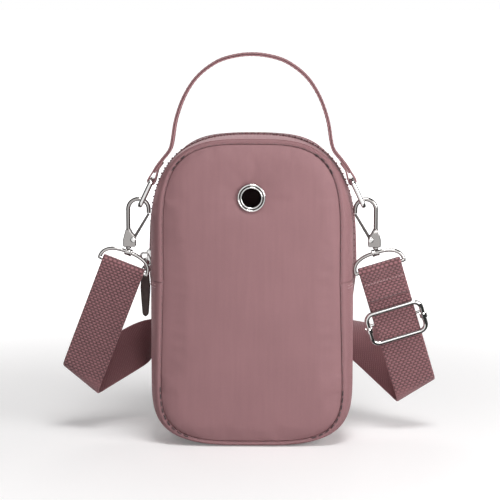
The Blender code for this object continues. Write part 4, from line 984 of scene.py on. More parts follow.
def make_flap_seams():
    """A row of stitches across the sewn end of the webbing on each side."""
    places = []
    s = 12.0 * MM
    for side in (-1, 1):
        frame, folds, _, _ = strap_side(side)
        for w in ((-11.1 + 1.85 * k) * MM for k in range(13)):
            for face in (-1, 1):
                point = folded(frame, folds, s, w, face * WEB_THICKNESS / 2)
                beside = folded(frame, folds, s, w + 0.5 * MM, face * WEB_THICKNESS / 2)
                n = (folded(frame, folds, s, w, face * WEB_THICKNESS) - point).normalized()
                if n.y * side < 0:
                    places.append((point, (beside - point).normalized(), n))
    sew("flap_stitches", places, (1.6, 0.32, 0.26), "light_thread", slot="webbing")


# The body.


def pad_cloth(name, outline, lift_of, pitch, hole=None):
    """A net of cloth cut to an outline, with an even middle and its rim sewn to the outline."""
    rim = [(p.x, p.z) for p in outline]
    loops = [rim]
    if hole:
        loops.append([(hole[0] + a, hole[1] + b) for a, b in circle(36, hole[2])])

    def clear(x, z):
        inside, near = False, 1.0
        for (ax, az), (bx, bz) in zip(rim, rim[1:] + rim[:1]):
            if (az > z) != (bz > z) and x < (bx - ax) * (z - az) / (bz - az) + ax:
                inside = not inside
            dx, dz = bx - ax, bz - az
            t = clamp(((x - ax) * dx + (z - az) * dz) / (dx * dx + dz * dz))
            near = min(near, math.hypot(x - ax - t * dx, z - az - t * dz))
        if hole:
            near = min(near, math.hypot(x - hole[0], z - hole[1]) - hole[2])
        return inside and near > pitch * 0.6

    reach = int(HALF_WIDTH / pitch)
    shape = bmesh.new()
    net = {}
    for i in range(-reach, reach + 1):
        for j in range(1, int(HEIGHT / pitch)):
            if clear(i * pitch, j * pitch):
                net[i, j] = shape.verts.new((i * pitch, 0, j * pitch))
    for i, j in net:
        corners = [net.get(key) for key in ((i, j), (i + 1, j), (i + 1, j + 1), (i, j + 1))]
        if all(corners):
            shape.faces.new(corners)
    for vert in [v for v in shape.verts if not v.link_faces]:
        shape.verts.remove(vert)
    open_edges = [e for e in shape.edges if len(e.link_faces) == 1]
    sewn = []
    for loop in loops:
        verts = [shape.verts.new((x, 0, z)) for x, z in loop]
        sewn += verts
        open_edges += [shape.edges.new(pair) for pair in zip(verts, verts[1:] + verts[:1])]
    bmesh.ops.triangle_fill(shape, use_beauty=True, use_dissolve=False, edges=open_edges)
    bmesh.ops.recalc_face_normals(shape, faces=shape.faces)
    shape.verts.index_update()
    sewn = [v.index for v in sewn]
    for vert in shape.verts:
        vert.co.y = lift_of(vert.co.x, vert.co.z)
    mesh = bpy.data.meshes.new(name)
    shape.to_mesh(mesh)
    shape.free()
    return placed(name, mesh), sewn


def puff(obj, sewn, facing, most):
    """Blows the cloth out by simulation, held along its seams, within a limit at each point."""
    scale, frames, sideways = 10.0, 20, 0.8 * MM
    mesh = obj.data
    start = [v.co.copy() for v in mesh.vertices]
    for vertex in mesh.vertices:
        vertex.co *= scale
    if mesh.polygons[len(mesh.polygons) // 2].normal.y * facing < 0:
        mesh.flip_normals()
    obj.vertex_groups.new(name="held").add(sewn, 1.0, "REPLACE")
    cloth = obj.modifiers.new("cloth", "CLOTH")
    settings = give(
        cloth.settings,
        dict(
            quality=6, mass=0.3, tension_stiffness=18, compression_stiffness=18,
            shear_stiffness=12, bending_stiffness=1.0, vertex_group_mass="held",
            use_pressure=True, uniform_pressure_force=1.6, shrink_min=-0.006,
        ),
    )
    settings.effector_weights.gravity = 0
    cloth.collision_settings.use_collision = False
    cloth.point_cache.frame_start, cloth.point_cache.frame_end = 1, frames
    for step in range(1, frames + 1):
        bpy.context.scene.frame_set(step)
    apply(obj, cloth)
    bpy.context.scene.frame_set(1)
    obj.vertex_groups.clear()
    for vertex, before in zip(obj.data.vertices, start):
        move = vertex.co / scale - before
        rise = facing * clamp(move.y * facing, -0.3 * MM, most)
        side = Vector((move.x, 0, move.z))
        if side.length > sideways:
            side *= sideways / side.length
        vertex.co = before + side + BACKWARD * rise
    return obj


def close_pad(obj, back):
    """Gives the cloth its sides and its inner face, so that the pad is one closed body."""
    shape = bmesh.new()
    shape.from_mesh(obj.data)
    rim = [e for e in shape.edges if len(e.link_faces) == 1]
    made = bmesh.ops.extrude_edge_only(shape, edges=rim)["geom"]
    for vert in (g for g in made if isinstance(g, bmesh.types.BMVert)):
        vert.co.y = back
    edges = [g for g in made if isinstance(g, bmesh.types.BMEdge) and len(g.link_faces) == 1]
    bmesh.ops.triangle_fill(shape, use_beauty=True, use_dissolve=False, edges=edges)
    bmesh.ops.recalc_face_normals(shape, faces=shape.faces)
    shape.to_mesh(obj.data)
    shape.free()
    return soft_shade(obj, 50)


def make_panel(name, facing, node, swell, hole=None):
    """A padded panel: it rises from its seam, crowns toward its middle and dips at the eyelet."""
    room, pitch, fill = 0.4 * MM, 2.4 * MM, 0.6
    roll, rise, crown, dip, dip_reach = 3.0 * MM, 2.4 * MM, 3.0 * MM, 0.7 * MM, 20 * MM
    outline = panel_outline(room)
    reach = sorted(
        (math.atan2(p.z - MIDDLE.z, p.x), math.hypot(p.x, p.z - MIDDLE.z)) for p in outline
    )
    angles = [angle for angle, _ in reach]

    def lift_of(x, z):
        far = math.hypot(x, z - MIDDLE.z)
        nearest = bisect_left(angles, math.atan2(z - MIDDLE.z, x))
        edge = reach[min(nearest, len(reach) - 1)][1]
        share, side = max(0.0, 1 - far / edge), clamp((edge - far) / roll)
        pad = rise * (0.5 + 0.5 * math.sqrt(1 - (1 - side) ** 2))
        lift = PANEL_BACK + pad + crown * (1 - (1 - share) ** 2)
        if hole:
            near = max(0.0, 1 - math.hypot(x - hole[0], z - hole[1]) / dip_reach)
            lift -= dip * near**2
        return facing * lift

    pad, sewn = pad_cloth(name, outline, lift_of, pitch, hole)
    puff(pad, sewn, facing, swell)
    finished_with(pad, "SUBSURF", levels=1, render_levels=1)
    close_pad(pad, facing * PANEL_BACK)
    dress(pad, "cloth", BODY, "nylon", node)


def wall_rows(line_of, facing, steps, seam):
    """Rows of the wall from the zip to the panel, pinched at the side seam and fuller near it."""
    gap, lip_drop, pinch, pinch_reach = 0.12 * MM, 0.25 * MM, 0.35 * MM, 3.5 * MM
    swells, swell_above, swell_below = {1: 3.4 * MM, -1: 3.2 * MM}, 58 * MM, 34 * MM
    pleat, pleat_pitch, pleat_x, pleat_z = 0.16 * MM, 1.6 * MM, 48 * MM, 163 * MM
    shares = [math.sin(math.pi / 2 * k / 10) for k in range(11)]
    made = []
    for share, lip in [(s, 0.0) for s in shares] + [(1.0, LIP * 0.5), (1.0, LIP)]:
        line = spread(wall_line(line_of, share, lip), steps)
        step = lengths(line)[-1] / steps
        for end in (line[0], line[-1]):
            end.z += seam * gap
        full = math.sin(math.pi * min(share * 1.1, 1.0)) if facing > 0 and not lip else 0.0
        for k, point in enumerate(line):
            off = abs(point.z - SEAM_HEIGHT)
            side, above = math.copysign(1, point.x), point.z > SEAM_HEIGHT
            pull = pinch * (1 - min(off / pinch_reach, 1.0)) ** 2
            high = max(0.0, 1 - off / (swell_above if above else swell_below))
            pull -= full * swells[side] * (high * (2 - high) if above else high * high)
            if abs(point.x) > 20 * MM:
                point.x -= side * pull
            wide, tall = (abs(point.x) - pleat_x) / (5 * MM), (point.z - pleat_z) / (7 * MM)
            bend = math.exp(-(wide**2) - tall**2)
            if bend > 0.02:
                fold = math.sin(2 * math.pi * k * step / pleat_pitch) * math.sin(math.pi * share)
                point += Vector((side * 0.7, 0, 0.7)) * (bend * fold * pleat)
        y = facing * (depth_at(share) - (lip_drop if lip else 0.0))
        made.append([Vector((p.x, y, p.z)) for p in line])
    return made


def make_walls():
    """The two bands beside the zip and the gusset under the bag."""
    thickness = 1.7 * MM
    for facing, word in FACES:
        wall = sheet_wall(word + "_band_cloth", wall_rows(arch, facing, 720, 1), thickness)
        dress(wall, "cloth", BODY, "nylon", word + "_band")
    both = wall_rows(foot, -1, 200, -1)[::-1] + wall_rows(foot, 1, 200, -1)
    gusset = sheet_wall("lower_gusset_cloth", both, thickness)
    for vertex in gusset.data.vertices:
        vertex.co.z = max(vertex.co.z, 0.0)
    dress(gusset, "cloth", BODY, "nylon", "lower_gusset")


def side_at(share, height):
    """How far out the gusset stands at this share of its depth and this height."""
    line = [p for p in wall_line(foot, share) if p.x > 0]
    return min(line, key=lambda p: abs(p.z - height)).x


def make_seams():
    """Stitched seams: round each panel, beside the zip, and across the sides."""
    corner_x, corner_low, corner_high = 36 * MM, 34 * MM, 158 * MM
    corner_proud, edge_proud, zip_share = 0.12 * MM, -0.25 * MM, 0.12
    side_pitch, side_proud, probe = 3.0 * MM, 0.02 * MM, 0.05
    for facing, word in FACES:
        line = spread(panel_outline(-0.35 * MM), 120, closed=True)
        edge, corners = [], []
        for k, point in enumerate(line):
            corner = abs(point.x) > corner_x and not corner_low < point.z < corner_high
            proud = corner_proud if corner else edge_proud
            middle = Vector((point.x, facing * (HALF_DEPTH + proud), point.z))
            place = (middle, heading(line, k, closed=True), BACKWARD * facing)
            (corners if corner else edge).append(place)
        sew(word + "_seam_stitches", edge, (3.3, 0.17, 0.06), "thread")
        sew(word + "_corner_stitches", corners, (3.1, 0.3, 0.12), "dark_thread")
        line = spread(wall_line(arch, zip_share), 130)
        places = []
        for a, b in zip(line, line[1:]):
            t = (b - a).normalized()
            middle = (a + b) / 2 + BACKWARD * (facing * depth_at(zip_share))
            places.append((middle, t, quarter_turn(t)))
        sew(word + "_zip_stitches", places, (1.8, 0.13, 0.05), "thread")
    places = []
    for side, below, k in ((s, b, k) for s in (-1, 1) for b in (1.7, 3.3) for k in range(17)):
        y, z = (k - 8) * side_pitch, SEAM_HEIGHT - below * MM
        share = max(0.0, (abs(y) - ZIP_HALF) / (HALF_DEPTH - ZIP_HALF))
        x, further = side_at(share, z), side_at(min(1.0, share + probe), z)
        lean = (further - x) / (probe * (HALF_DEPTH - ZIP_HALF))
        n = Vector((side, -lean * math.copysign(1, y), 0)).normalized()
        places.append((Vector((side * (x + side_proud), y, z)), n.cross(UP).normalized(), n))
    sew("side_seam_stitches", places, (2.0, 0.24, 0.16), "light_thread")


def make_lining():
    """A pouch of lining cloth inside the walls."""
    thickness, open_from, droop, room, low_part = 0.5 * MM, 127 * MM, 0.5 * MM, 0.4 * MM, 20 * MM
    wall = HALF_DEPTH - PANEL_BACK + thickness + LIP
    top = [p for p in spread(arch(SIDE_INSET, TOP_INSET, wall), 120) if p.z < open_from]
    low = spread(foot(SIDE_INSET, FOOT_INSET, wall), 120)
    outline = [p for p in top if p.x > 0] + low[1:-1] + [p for p in top if p.x < 0]
    deep = PANEL_BACK - room
    rows = []
    for k in range(15):
        y, sag = deep * (k / 7 - 1), droop * math.sin(math.pi * k / 14)
        rows.append([])
        for p in outline:
            lift = sag if p.z < low_part else 0
            rows[-1].append(Vector((p.x * (1 - sag / (50 * MM)), y, p.z + lift)))
    pouch = facing_out(rows_piece("lining_pouch", rows, caps=True))
    finished_with(pouch, "SOLIDIFY", thickness=thickness, offset=-1.0)
    dress(soft_shade(pouch, 50), "lining", BODY, "lining", "inner_lining")


def make_seam_tapes():
    """Binding tape behind each panel's seam."""
    for facing, word in FACES:
        rows = []
        for room in (-2.6, -1.3, 0.0, 1.3, 2.6):
            line = panel_outline(room * MM)
            y = facing * (HALF_DEPTH - 2.0 * MM)
            rows.append([Vector((p.x, y, p.z)) for p in line + line[:1]])
        dress(sheet_wall(word + "_seam_tape", rows, 0.4 * MM), "handle", BODY, "zip_tape")


def make_eyelet():
    """The eyelet's rim, a dark wire painted as the shade in its groove, and the washer behind the
    cloth.
    """
    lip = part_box("eyelet")[0][1]
    face = lip + 1.4 * MM
    centre = Vector((0, 0, EYELET_Z))
    tail = 1.4 * MM - PANEL_BACK
    profile = [(5.7, tail), (5.7, face + 1.2 * MM), (5.4, face - 0.2 * MM)]
    for angle in (math.pi * (1 - k / 12) for k in range(13)):
        y = lip + 0.55 * MM * (1 - math.sin(angle))
        profile.append((5.9 + 0.5 * math.cos(angle), y))
    profile += [(6.5, lip + 1.3 * MM), (6.9, lip + 1.3 * MM)]
    for angle in (math.pi * 0.95 * (1 - k / 10) for k in range(11)):
        y = lip + 0.75 * MM - 0.55 * MM * math.sin(angle)
        profile.append((7.48 + 0.55 * math.cos(angle), y))
    profile += [(8.05, face), (6.4, face), (6.4, tail)]
    ring = turned("eyelet_ring", [(r * MM, y) for r, y in profile], centre)
    dress(ring, "metal", BODY, "nickel", "eyelet")
    # Painted shade and painted dark reflection: a thin near-black wire laid in the rim's groove.
    groove = [centre + Vector((x, lip + 0.72 * MM, z)) for x, z in circle(96, 6.68 * MM)]
    line = wire_piece("eyelet_groove", groove, 0.32 * MM, closed=True, sides=4)
    dress(line, "gate_metal", BODY, "nickel")
    profile = ((6.7, 0.3), (8.0, 0.3), (8.1, 0.45), (8.1, 0.95), (7.9, 1.1), (6.7, 1.1))
    washer = [(r * MM, y * MM - PANEL_BACK) for r, y in profile]
    dress(turned("eyelet_back", washer, centre), "metal", BODY, "nickel", "eyelet_washer")


# The zip.


def make_zip(pitch):
    """Two tapes, a core cord and two rows of moulded teeth, half a pitch apart."""
    tape_thick, edge, clear, reach = 0.8 * MM, 0.4 * MM, 8 * MM, 0.6 * MM
    drops, narrowing, head_share, head_from = {1: 1.1 * MM, -1: 0.7 * MM}, 0.25, 0.68, 0.5 * MM
    line = spread(arch(ZIP_PROUD, ZIP_PROUD, 2.1 * MM), 200)
    for facing, word in FACES:
        places = [facing * y * MM for y in (1.2, 3.0, 5.0, 7.0, 10.0)]
        rows = [[Vector((p.x, y, p.z)) for p in line] for y in places]
        tape = sheet_wall(word + "_tape", rows, tape_thick)
        dress(tape, "tape", BODY, "zip_tape", "zip_tape_" + word)
    tooth = Vector((1.5, 2.5, 2.0)) * MM / 2
    seed = brick("seed", -tooth, tooth, edge, 2)
    shape = [v.co.copy() for v in seed.data.vertices]
    sides = [tuple(p.vertices) for p in seed.data.polygons]
    bpy.data.objects.remove(seed)
    top = arch(0.0, 0.0)
    count = round((lengths(top)[-1] - clear) / pitch) * 2
    line = spread(top, count)
    points, faces = [], []
    for k in range(1, count):
        t = heading(line, k)
        n = quarter_turn(t)
        hand = 1 if k % 2 else -1
        faces += [tuple(len(points) + i for i in side) for side in sides]
        for co in shape:
            narrow = 1.0 - narrowing * max(0.0, -co.y * hand) / tooth.y
            narrow *= head_share if co.z > head_from else 1.0
            across = BACKWARD * (co.y + hand * reach)
            points.append(line[k] + t * (co.x * narrow) + across + n * (co.z - drops[hand]))
    teeth = soft_shade(facing_out(mesh_piece("zip_teeth", points, faces)), 30)
    line = spread(arch(0.0, 0.0, 1.7 * MM), 200)
    profile = ((-1.3, -0.4), (-1.3, 0.3), (0.0, 0.5), (1.3, 0.3), (1.3, -0.4))
    rings = []
    for k, point in enumerate(line):
        n = quarter_turn(heading(line, k))
        rings.append([point + BACKWARD * (y * MM) + n * (h * MM) for y, h in profile])
    core = facing_out(rows_piece("zip_core", rings, round_across=True, caps=True))
    dress(core, "tape", BODY, "zip_teeth")
    dress(teeth, "teeth", BODY, "zip_teeth", "zip_chain")


def make_slider():
    """The slider's plate and bail, with its channel cut."""
    low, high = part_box("zip_slider")
    bail_room, skin, chain_half, past = 4.2 * MM, 1.2 * MM, 2.2 * MM, 2 * MM
    face = low[0] + bail_room
    plate = brick("slider_body", (face, low[1], low[2]), high, 0.5 * MM)
    near = (face + skin, -chain_half, low[2] - past)
    far = (high[0] + past, chain_half, high[2] + past)
    subtract(plate, brick("slider_channel", near, far, 0.1 * MM, 1))
    reach, wire, bend = 2.5 * MM, 0.7 * MM, 1.6 * MM
    out, end = low[0] + wire, (low[2] + high[2]) / 2 - reach
    arm = [(face + 0.6 * MM, end), (out + bend, end)]
    for a in (math.pi / 2 * k / 8 for k in range(1, 9)):
        arm.append((out + bend * (1 - math.sin(a)), end + bend * (1 - math.cos(a))))
    arm += [(x, low[2] + high[2] - z) for x, z in arm[::-1]]
    bail = wire_piece("slider_bail", [Vector((x, 0, z)) for x, z in arm], wire)
    slider = joined("zip_slider_piece", [plate, bail])
    dress(slider, "metal", "zip_slider", "nickel", "zip_slider")


def make_link():
    """The pull's metal link."""
    low, high = (Vector(corner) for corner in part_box("zip_link"))
    wire, middle, half = 0.7 * MM, (low + high) / 2, (high - low) / 2
    loop = rounded_loop(half.y - wire, half.z - wire, 1.3 * MM)
    link = wire_piece(
        "zip_link_piece", [middle + Vector((0, y, z)) for y, z in loop], wire, closed=True
    )
    dress(link, "metal", "zip_link", "nickel", "zip_link")
    return low.z + wire


def make_pull(link_low):
    """The leather pull, widest below its middle, with a row of stitches along each edge."""
    low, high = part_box("zip_tab")
    x, wide = (low[0] + high[0]) / 2, (high[0] - low[0]) / 2
    tall, thin, round_off, widest = high[2] - low[2], 1.15 * MM, 0.6 * MM, 0.42
    top_share, taper, blunt, tip, rounded = 0.62, 0.42, 0.25, 0.07, 0.05
    first, pitch, inset, eye_half, eye_drop = 0.27, 0.062, 0.75 * MM, 1.6 * MM, 0.4 * MM

    def half_at(u):
        if u < widest:
            return wide * (top_share + (1 - top_share) * u / widest)
        return wide * (1.0 - taper * ((u - widest) / (1 - widest)) ** 1.2)

    rings = []
    for u in (k / 30 for k in range(31)):
        half = half_at(u)
        if u > 1 - tip:
            half *= math.sqrt(max(0.0, 1 - ((u - 1 + tip) / tip) ** 2)) * (1 - blunt) + blunt
        if u < rounded:
            half *= 1 - blunt + blunt * math.sqrt(1 - (1 - u / rounded) ** 2)
        deep = thin * (0.82 if u in (0.0, 1.0) else 1.0)
        loop = rounded_loop(half, deep, round_off, 4)
        rings.append([Vector((x + a, b, high[2] - tall * u)) for a, b in loop])
    tab = soft_shade(facing_out(rows_piece("zip_tab_piece", rings, round_across=True, caps=True)))
    eye = Vector((x, 0, link_low - eye_drop))
    subtract(tab, rod("tab_eye", eye_half, 20 * MM, eye, BACKWARD))
    dress(tab, "leather", "zip_tab", "leather", "zip_tab")
    places = []
    for facing, hand, k in ((f, h, k) for f in (-1, 1) for h in (-1, 1) for k in range(10)):
        u = first + pitch * k
        middle = Vector((x + hand * (half_at(u) - inset), facing * thin, high[2] - tall * u))
        places.append((middle, UP, BACKWARD * facing))
    sew("tab_stitches", places, (1.3, 0.11, 0.05), "dark_thread", "zip_tab", "leather")


# The handle and the fittings.


def make_handle():
    """Two layers sewn along their edges. The outer one turns round each ring and ends as a flap."""
    steps, width, thick, corner = 260, 11.0 * MM, 0.98 * MM, 0.42 * MM
    lap, fade_over, flap_end, flap_room = 14.0 * MM, 9.0 * MM, 12.0 * MM, 0.64 * MM
    high_off, low_off, turn_radius, row_room = 1.36 * MM, 0.5 * MM, 2.3 * MM, 3.7 * MM
    half = [Vector((x * MM, FRONT_Y, z * MM)) for x, z in HANDLE_LINE]
    mirrored = [Vector((-p.x, p.y, p.z)) for p in half]
    line = spread(curve_through(mirrored + half[-2::-1], 10), steps)
    normals = [-n for n in normals_of(line, BACKWARD)]
    step = lengths(line)[-1] / steps

    def gone(k):
        return min(k, steps - k) * step

    def off_middle(k, below=0.0):
        """Where the outer layer, or one this far below it, lies at a place of the line."""
        u = clamp((gone(k) - lap) / fade_over)
        return line[k] + normals[k] * (high_off + (low_off - high_off) * eased(u) - below)

    def turn_round(k, inward):
        """From the outer face round the ring to the inner face, about the ring's bar."""
        t = (line[k] - line[k + inward]).normalized()
        turns = [math.radians(6 + 168 * j / 16) for j in range(17)]
        turned_to = (normals[k] * math.cos(a) + t * math.sin(a) for a in turns)
        return [line[k] + way * turn_radius for way in turned_to]

    def layer(name, points, wide, deep, rim, finish, *nodes):
        dress(ribbon(name, points, BACKWARD, wide, deep, rim), finish, BODY, "nylon", *nodes)

    def edge_rows(name, points, hand):
        """Two rows of stitches on a layer's outer or inner side."""
        places = []
        sewn = spread(points, round(lengths(points)[-1] / (2.6 * MM)))
        for a, b in zip(sewn, sewn[1:]):
            t, middle = (b - a).normalized(), (a + b) / 2
            n = BACKWARD.cross(t)
            away = middle - Vector((0, FRONT_Y, 150 * MM))
            n *= hand * math.copysign(1, n.dot(away))
            for y in (-row_room, row_room):
                places.append((middle + n * (thick / 2 - 0.08 * MM) + BACKWARD * y, t, n))
        sew(name, places, (1.7, 0.16, 0.05), "thread")

    start, sewn_from = (
        next(k for k in range(steps + 1) if gone(k) > room * MM) for room in (3.4, 5.2)
    )
    outer = [off_middle(k) for k in range(start, steps + 1 - start)]
    flap = range(sewn_from, int(flap_end / step) + 1)
    flap_left = [line[k] - normals[k] * flap_room for k in reversed(flap)]
    flap_right = [line[steps - k] - normals[steps - k] * flap_room for k in flap]
    path = flap_left + turn_round(0, 1)[::-1] + outer + turn_round(steps, -1) + flap_right
    for _ in range(3):
        softer = [(a + b * 2 + c) / 4 for a, b, c in zip(path, path[1:], path[2:])]
        path = [path[0], *softer, path[-1]]
    inside, between = (
        [off_middle(k, below * MM) for k in range(start + 1, steps - start)]
        for below in (0.99, 0.495)
    )
    layer("handle_outer", path, width, thick, corner, "handle", "handle")
    # The inner layer wears the lit copy of the cloth, a painted highlight along its edge.
    layer("handle_inner", inside, width, thick, corner, "handle_under")
    # Painted shade: a thin dark sheet between the layers, a little wider than they are, shows as
    # the dark gap between them.
    layer("handle_core", between, 11.3 * MM, 0.36 * MM, None, "tape")
    edge_rows("handle_stitches", outer, 1)
    edge_rows("handle_inner_stitches", inside, -1)


def make_hook(side, word):
    """One side's ring, hook, sprung gate, rivet, swivel and strap ring."""

    def at(x, z):
        """A place in the fittings' plane, from mm beside the bag's middle and above the table."""
        return Vector((side * x * MM, FRONT_Y, z * MM))

    top, low = at(*RING_TOP), at(*RING_LOW)
    middle, upward = (top + low) / 2, (top - low).normalized()
    loop = rounded_loop(7.2 * MM, (top - low).length / 2, 2.2 * MM)
    points = [middle + BACKWARD * y + upward * z for y, z in loop]
    ring = wire_piece("ring_" + word, points, 1.4 * MM, closed=True, sides=8)
    dress(ring, "metal", "side_ring_" + word, "nickel", "side_ring_" + word)

    base_deep, slot_x, slot_z, slot_half = 5.8 * MM, (62.8, 70.0), (111, 127), 1.6 * MM
    spine = [at(HOOK_X, z) for z in (122.6, 128, 133)]
    x, z = HOOK_CROWN
    for a in (math.pi * k / 24 for k in range(25)):
        spine.append(at(x + CROWN_RADIUS * math.cos(a), z + CROWN_RADIUS * math.sin(a)))
    bow = wire_piece("bow", [*spine, at(*HOOK_NOSE)], 1.25 * MM, sides=8)
    outline = [(side * x * MM, z * MM) for x, z in HOOK_BASE]
    base = flat_piece("base", outline, [], base_deep, 0.5 * MM)
    near, far = sorted(side * x * MM for x in slot_x)
    low = (near, FRONT_Y - slot_half, slot_z[0] * MM)
    high = (far, FRONT_Y + slot_half, slot_z[1] * MM)
    subtract(base, brick("slot", low, high, 0.1 * MM, 1))
    subtract(base, rod("bore", 2.0 * MM, 1.7 * MM, at(HOOK_X, 117.2), UP))
    subtract(base, rod("shaft", 1.4 * MM, 6 * MM, at(HOOK_X, 115.0), UP))
    collar = rod("collar", 1.75 * MM, 1.6 * MM, at(HOOK_X, 123.9), UP, 0.4 * MM)
    hook = joined("hook_piece_" + word, [base, bow, collar])
    # The hook wears a darker copy of the nickel, painted shade.
    dress(hook, "hook_metal", "hook_" + word, "nickel", "hook_" + word)

    pivot = at(*RIVET)
    parts = [rod("pin", 0.72 * MM, 6.2 * MM, pivot, BACKWARD, 0.15 * MM)]
    turns = [math.pi / 2 * k / 6 for k in range(7)]
    dome = [((2.9 + 0.5 * math.sin(a)) * MM, max(1.55 * math.cos(a), 0.02) * MM) for a in turns]
    for facing in (-1, 1):
        parts.append(lathed("head", pivot, (BACKWARD * facing, RIGHT, UP), dome, 32, hollow=False))
    rivet = joined("rivet_" + word, parts)
    dress(rivet, "metal", "hook_" + word, "nickel", "hook_pin_" + word)

    heel, tip = (Vector((x, 0, z)) for x, z in (RIVET, GATE_TIP))
    t = (tip - heel).normalized()
    n = quarter_turn(t)
    start, turn = math.atan2(n.z, n.x), math.asin(GATE_HALF / GATE_HEEL_RADIUS)
    turns = [start + turn + (math.pi - 2 * turn) * k / 24 for k in range(25)]
    shape = [heel + Vector((math.cos(a), 0, math.sin(a))) * GATE_HEEL_RADIUS for a in turns]
    neck = heel + t * GATE_HEEL_RADIUS
    shape += [neck - n * GATE_HALF, tip - n * TIP_HALF, tip + n * TIP_HALF, neck + n * GATE_HALF]
    outline = [(side * p.x * MM, p.z * MM) for p in shape]
    hole = (pivot.x, pivot.z, 1.0 * MM)
    gate = flat_piece("gate_piece_" + word, outline, [hole], 2.6 * MM, 0.18 * MM)
    # The gate wears the near-black copy of the nickel, painted shade and dark reflection.
    dress(gate, "gate_metal", "gate_" + word, "nickel", "hook_gate_" + word)

    eye, bar, along, upward = ring_axes(side)
    stations = [(s * MM, r * MM) for s, r in BEAD]
    parts = [lathed("bead", eye, (along, BACKWARD, upward), stations, 48)]
    for wide, tall, z, edge in POST:
        parts.append(rod("post", wide * MM, tall * MM, at(HOOK_X, z), UP, edge * MM))
    swivel = joined("swivel_piece_" + word, parts)
    # The swivel wears a darker copy of the nickel, painted shade.
    dress(swivel, "ring_metal", "strap_ring_" + word, "nickel", "hook_swivel_" + word)

    points = []
    for a in (math.pi * k / 72 for k in range(73)):
        x, z = squarish(a, RING_HALF, RING_RISE, 2.5)
        points.append(bar + along * x + upward * z)
    points = spread(points, 110, closed=True)
    ring = wire_piece("d_ring_" + word, points, RING_WIRE, closed=True, sides=8)
    # The strap ring wears a darker copy of the nickel, painted shade.
    dress(ring, "ring_metal", "strap_ring_" + word, "nickel", "strap_ring_" + word)


def make_adjuster():
    """The strap's slider: a wire frame in front, a bar behind and the sewn tab round the bar."""
    _, _, frame, _ = strap_side(1)
    along, across, off = (frame.to_3x3().col[i].normalized() for i in range(3))
    wide, gap, bend = 16.4 * MM, 0.3 * MM, 1.2 * MM

    def at(s, b, h):
        """A place along the strap from the slider, across it and off its middle."""
        return frame @ Vector((ADJUSTER_PLACE + s, b, h))

    front = WEB_THICKNESS / 2 + gap + 1.15 * MM
    back = -(WEB_THICKNESS / 2 + gap + WEB_THICKNESS + gap + 1.0 * MM)
    loop = [at(t, b, front) for b, t in rounded_loop(wide, 9.7 * MM, 4.6 * MM, 14)]
    piece = wire_piece("slider_frame", loop, 1.4 * MM, closed=True, sides=8)
    dress(piece, "metal", "strap_slider", "nickel", "strap_slider_frame")
    path = [(-wide, front - 1.45 * MM - 0.4 * MM), (-wide, back + bend)]
    for a in (math.pi / 2 * k / 6 for k in range(1, 7)):
        path.append((bend * (1 - math.cos(a)) - wide, back + bend * (1 - math.sin(a))))
    path += [(-b, h) for b, h in path[::-1]]
    parts = [wire_piece("bar", [at(0, b, h) for b, h in path], 0.9 * MM)]
    stations = [(s * MM, r * MM) for s, r in CURL]
    for hand in (-1, 1):
        axes = (along, across, off)
        parts.append(lathed("curl", at(0, hand * wide, front), axes, stations, 40))
    piece = joined("slider_bar", parts)
    dress(piece, "metal", "strap_slider", "nickel", "strap_slider_bar")
    near = back + 2.7 * MM
    points = [(FLAP - 19 * MM * k / 10, near - 0.7 * MM) for k in range(11)]
    points = [(s, h) for s, h in points if s > 0.4 * MM]
    for a in (math.pi * k / 16 for k in range(15)):
        points.append((-2.0 * MM * math.sin(a), back + 2.0 * MM * math.cos(a)))
    points += [(1.9 * MM, back - 1.75 * MM), (4.2 * MM, back - 0.9 * MM)]
    points += [((7.0 + 2.0 * k) * MM, near - 2.1 * MM) for k in range(7)]
    line = [at(s, 0, h) for s, h in points]
    tab = ribbon("slider_tab", line, across, 25.2 * MM, 1.35 * MM)
    dress(tab, "webbing", "strap_slider", "webbing", "strap_slider_tab")


# The stage.


def pale_floor(name, colour, glow):
    """A pale floor that keeps the shadows. Only the camera sees its glow, and metal the studio."""
    s = Shade(name)
    path = s.put("ShaderNodeLightPath").outputs
    position = s.put("ShaderNodeNewGeometry").outputs["Position"]
    far = s.through("ShaderNodeVectorMath", {0: position}, "Value", operation="LENGTH")
    reach = {"Value": far, "From Min": 0.12, "From Max": 0.75, "To Min": glow, "To Max": 0.95}
    light = s.through("ShaderNodeMapRange", reach, "Result", interpolation_type="SMOOTHSTEP")
    seen = s.math("MAXIMUM", path["Is Camera Ray"], path["Is Transmission Ray"])
    s.feed(
        Base_Color=(*colour, 1.0), Roughness=0.9, Specular_IOR_Level=0.1,
        Emission_Color=(1.0, 1.0, 1.0, 1.0), Emission_Strength=s.times(seen, light),
    )
    toward = s.through("ShaderNodeVectorMath", {0: position}, "Vector", operation="NORMALIZE")
    mirror = s.through("ShaderNodeEmission", {"Color": s.studio(toward)})
    sockets = {"Fac": path["Is Glossy Ray"], 1: s.shader.outputs[0], 2: mirror}
    mix = s.through("ShaderNodeMixShader", sockets)
    s.join(mix, s.tree.nodes["Material Output"].inputs["Surface"])
    return s.made


def studio_world(name, fill):
    """White to the camera, an even fill for the rest, and the studio where metal looks."""
    s = Shade(name, bpy.data.worlds, "Background")
    path = s.put("ShaderNodeLightPath").outputs
    seen = s.studio(s.put("ShaderNodeTexCoord").outputs["Generated"])
    strength = fill
    for ray, value in (("Glossy", seen), ("Transmission", 1.0), ("Camera", 1.0)):
        sockets = {"A": strength, "B": value, "Factor": path[f"Is {ray} Ray"]}
        strength = s.through("ShaderNodeMix", sockets, "Result")
    s.feed(Color=(1.0, 1.0, 1.0, 1.0), Strength=strength)
    return s.made


def aimed(obj, place, toward):
    obj.location = place
    obj.rotation_euler = (Vector(toward) - Vector(place)).to_track_quat("-Z", "Y").to_euler()
    return obj


